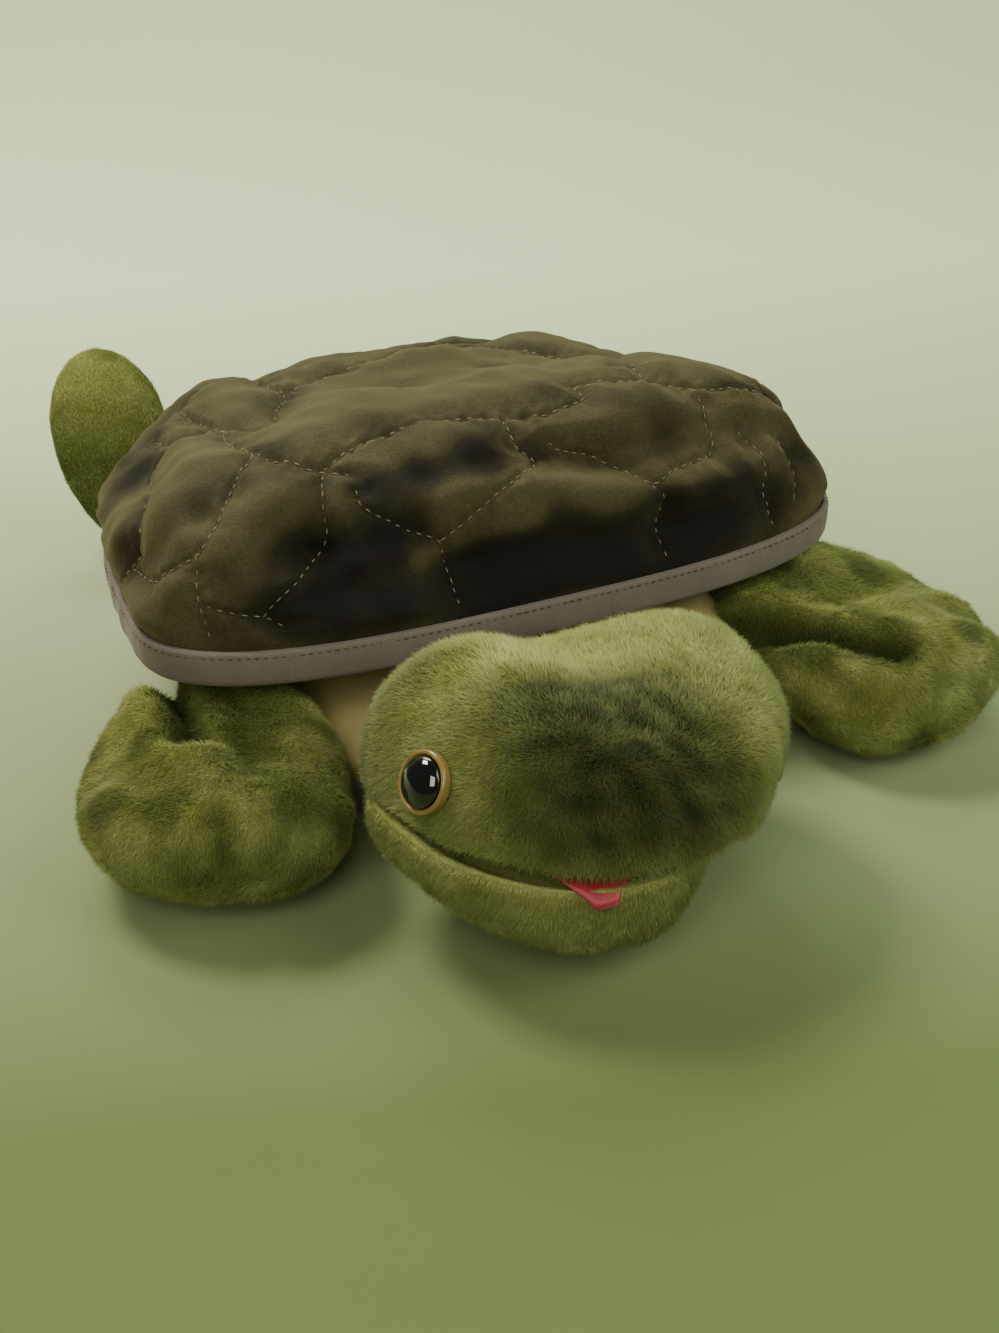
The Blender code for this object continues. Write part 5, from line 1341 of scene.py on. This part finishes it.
def leaf_tint(points, seed):
    """Grey-green, dappled, with painted shade darkening its lower part."""
    base = dappled(points, 0.30, 0.2, 18 * MM, 0.10, 6 * MM, seed)
    # Painted shade: darker the lower it lies, below 58 mm in the hip's frame.
    foot = rising(points[..., 2], 58 * MM, -40 * MM)
    return mix(base, PLUSH_DARK, np.maximum(foot, 0.5 * ripple(points, 34 * MM, seed + 2)))


for number, (side_name, side, rise, back_turn) in enumerate(LEAVES):
    body = "rear_flipper_" + side_name
    hip = Matrix.Translation((side * HIP_SIDE, HIP_BACK, HIP_LEVEL))
    rise, back_turn = math.radians(rise), math.radians(back_turn)
    tint_of = lambda points, s=171 + 10 * number: leaf_tint(points, s)
    points, faces = stuffed(body + "_plush", leaf(side, rise, back_turn), hip, tint_of, body,
                            (body + "_skin", body + "_stuffing"))
    roots, normals = sow(points, faces, LEAF_STRANDS, 181 + number)
    nap = np.tile([side * math.sin(back_turn), 1.0, math.sin(rise)], (len(roots), 1))
    pile_of(body + "_pile", hip, roots, normals, nap, 1.12, LEAF_PILE, tint_of(roots),
            191 + 10 * number, body)

# The tail: a small plush point on an upright seam behind the belly.
TAIL_LENGTH = 34 * MM
TAIL_HALF_WIDTH = 11 * MM
TAIL_HALF_THICK = 7.5 * MM
TAIL_ROWS = 48
TAIL_COLUMNS = 64
TAIL_STRANDS = 5000
TAIL_PILE = 3.6 * MM
TAIL_PLACES = np.array([-.17, .10, .50, .84, 1.0])
TAIL_SIZES = np.array([.62, 1.0, .80, .44, .16])
dock = Matrix.Translation((0, 97.3 * MM, 24 * MM)) @ Matrix.Rotation(math.radians(-18), 4, "X")
place, size = limb(-0.22, 1.04, TAIL_PLACES, TAIL_SIZES, window=0.08, rows=TAIL_ROWS,
                   start=0.08)
cosine, sine = circle(TAIL_COLUMNS)
tail_grid = np.stack(np.broadcast_arrays(
    TAIL_HALF_WIDTH * size[:, None] * cosine, (place * TAIL_LENGTH)[:, None],
    TAIL_HALF_THICK * size[:, None] * sine), -1)
# Every point of the tail's own frame lies below 18 mm, so leaf_tint paints the whole tail with its
# full painted shade.
tail_tint = lambda points: leaf_tint(points, 201)
points, faces = stuffed("tail_plush", tail_grid, dock, tail_tint, "tail", ("tail",))
roots, normals = sow(points, faces, TAIL_STRANDS, 202)
pile_of("tail_pile", dock, roots, normals, np.tile([0, 1.0, -0.2], (len(roots), 1)), 1.0,
        TAIL_PILE, tail_tint(roots), 203, "tail")

# Side gussets: two short panels of the same plush that join the belly's sides to the rim.
GUSSET_STEPS = 60
GUSSET_FOOT = 24 * MM
GUSSET_TOP = 50.2 * MM


def belly_half_width(y):
    """Half the width of the belly at a place along it."""
    half_width, ahead, behind, widest = BELLY_EGG
    front = y < -widest
    reach, power = np.where(front, ahead - widest, behind + widest), np.where(front, *BELLY_POWERS)
    return half_width * (1 - (np.abs(y + widest) / reach) ** power) ** (1 / power)


for side, side_name in ((-1, "right"), (1, "left")):
    y = np.linspace(-36, 24, GUSSET_STEPS) * MM
    foot = belly_half_width(y) + 2.5 * MM
    near = np.sign(RIM_X) == side
    order = np.argsort(RIM_Y[near])
    edge = np.interp(y, RIM_Y[near][order], np.abs(RIM_X[near][order])) - 1.8 * MM
    corners = [(foot, GUSSET_FOOT), (foot + 4 * MM, GUSSET_FOOT), (edge, GUSSET_TOP - 4 * MM),
               (edge, GUSSET_TOP), (edge - 8.5 * MM, GUSSET_TOP),
               (edge - 8.5 * MM, GUSSET_TOP - 4 * MM), (foot, 33 * MM)]
    section = np.stack([np.stack([side * x, y, np.full(GUSSET_STEPS, z)], -1)
                        for x, z in corners], 1)
    fine = np.linspace(0, len(corners), 8 * len(corners), endpoint=False)
    k = fine.astype(int)
    share = (fine - k)[None, :, None]
    section = section[:, k] * (1 - share) + section[:, (k + 1) % len(corners)] * share
    points, faces = capped(section)
    tints = mix(PLUSH_DARK, PLUSH_MID, 0.4 + 0.3 * ripple(points, 10 * MM, 211)) * 0.6
    gusset = piece("gusset_plush_" + side_name, points, faces, backing, tint=tints)
    sewn(gusset, "shell_and_belly", "green_plush", "side_gusset_" + side_name)

# What the seams hide: stiff board behind the satin, and nylon washers on the eyes' shanks.
board = mottled("pressed board", "7d786c", "a09b8f", 1.5 * MM, 5.0, Base_Color=linear("8e8a80"),
                Roughness=0.8)
nylon = mottled("moulded nylon", "bfbfb9", "d4d4cf", 3 * MM, Base_Color=linear("c9c9c4"),
                Roughness=0.45, IOR=1.53)
for name in ("upper_mouth_board", "lower_mouth_board"):
    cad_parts[name].material_slots[0].material = board
for side in ("right", "left"):
    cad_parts["eye_washer_" + side].material_slots[0].material = nylon
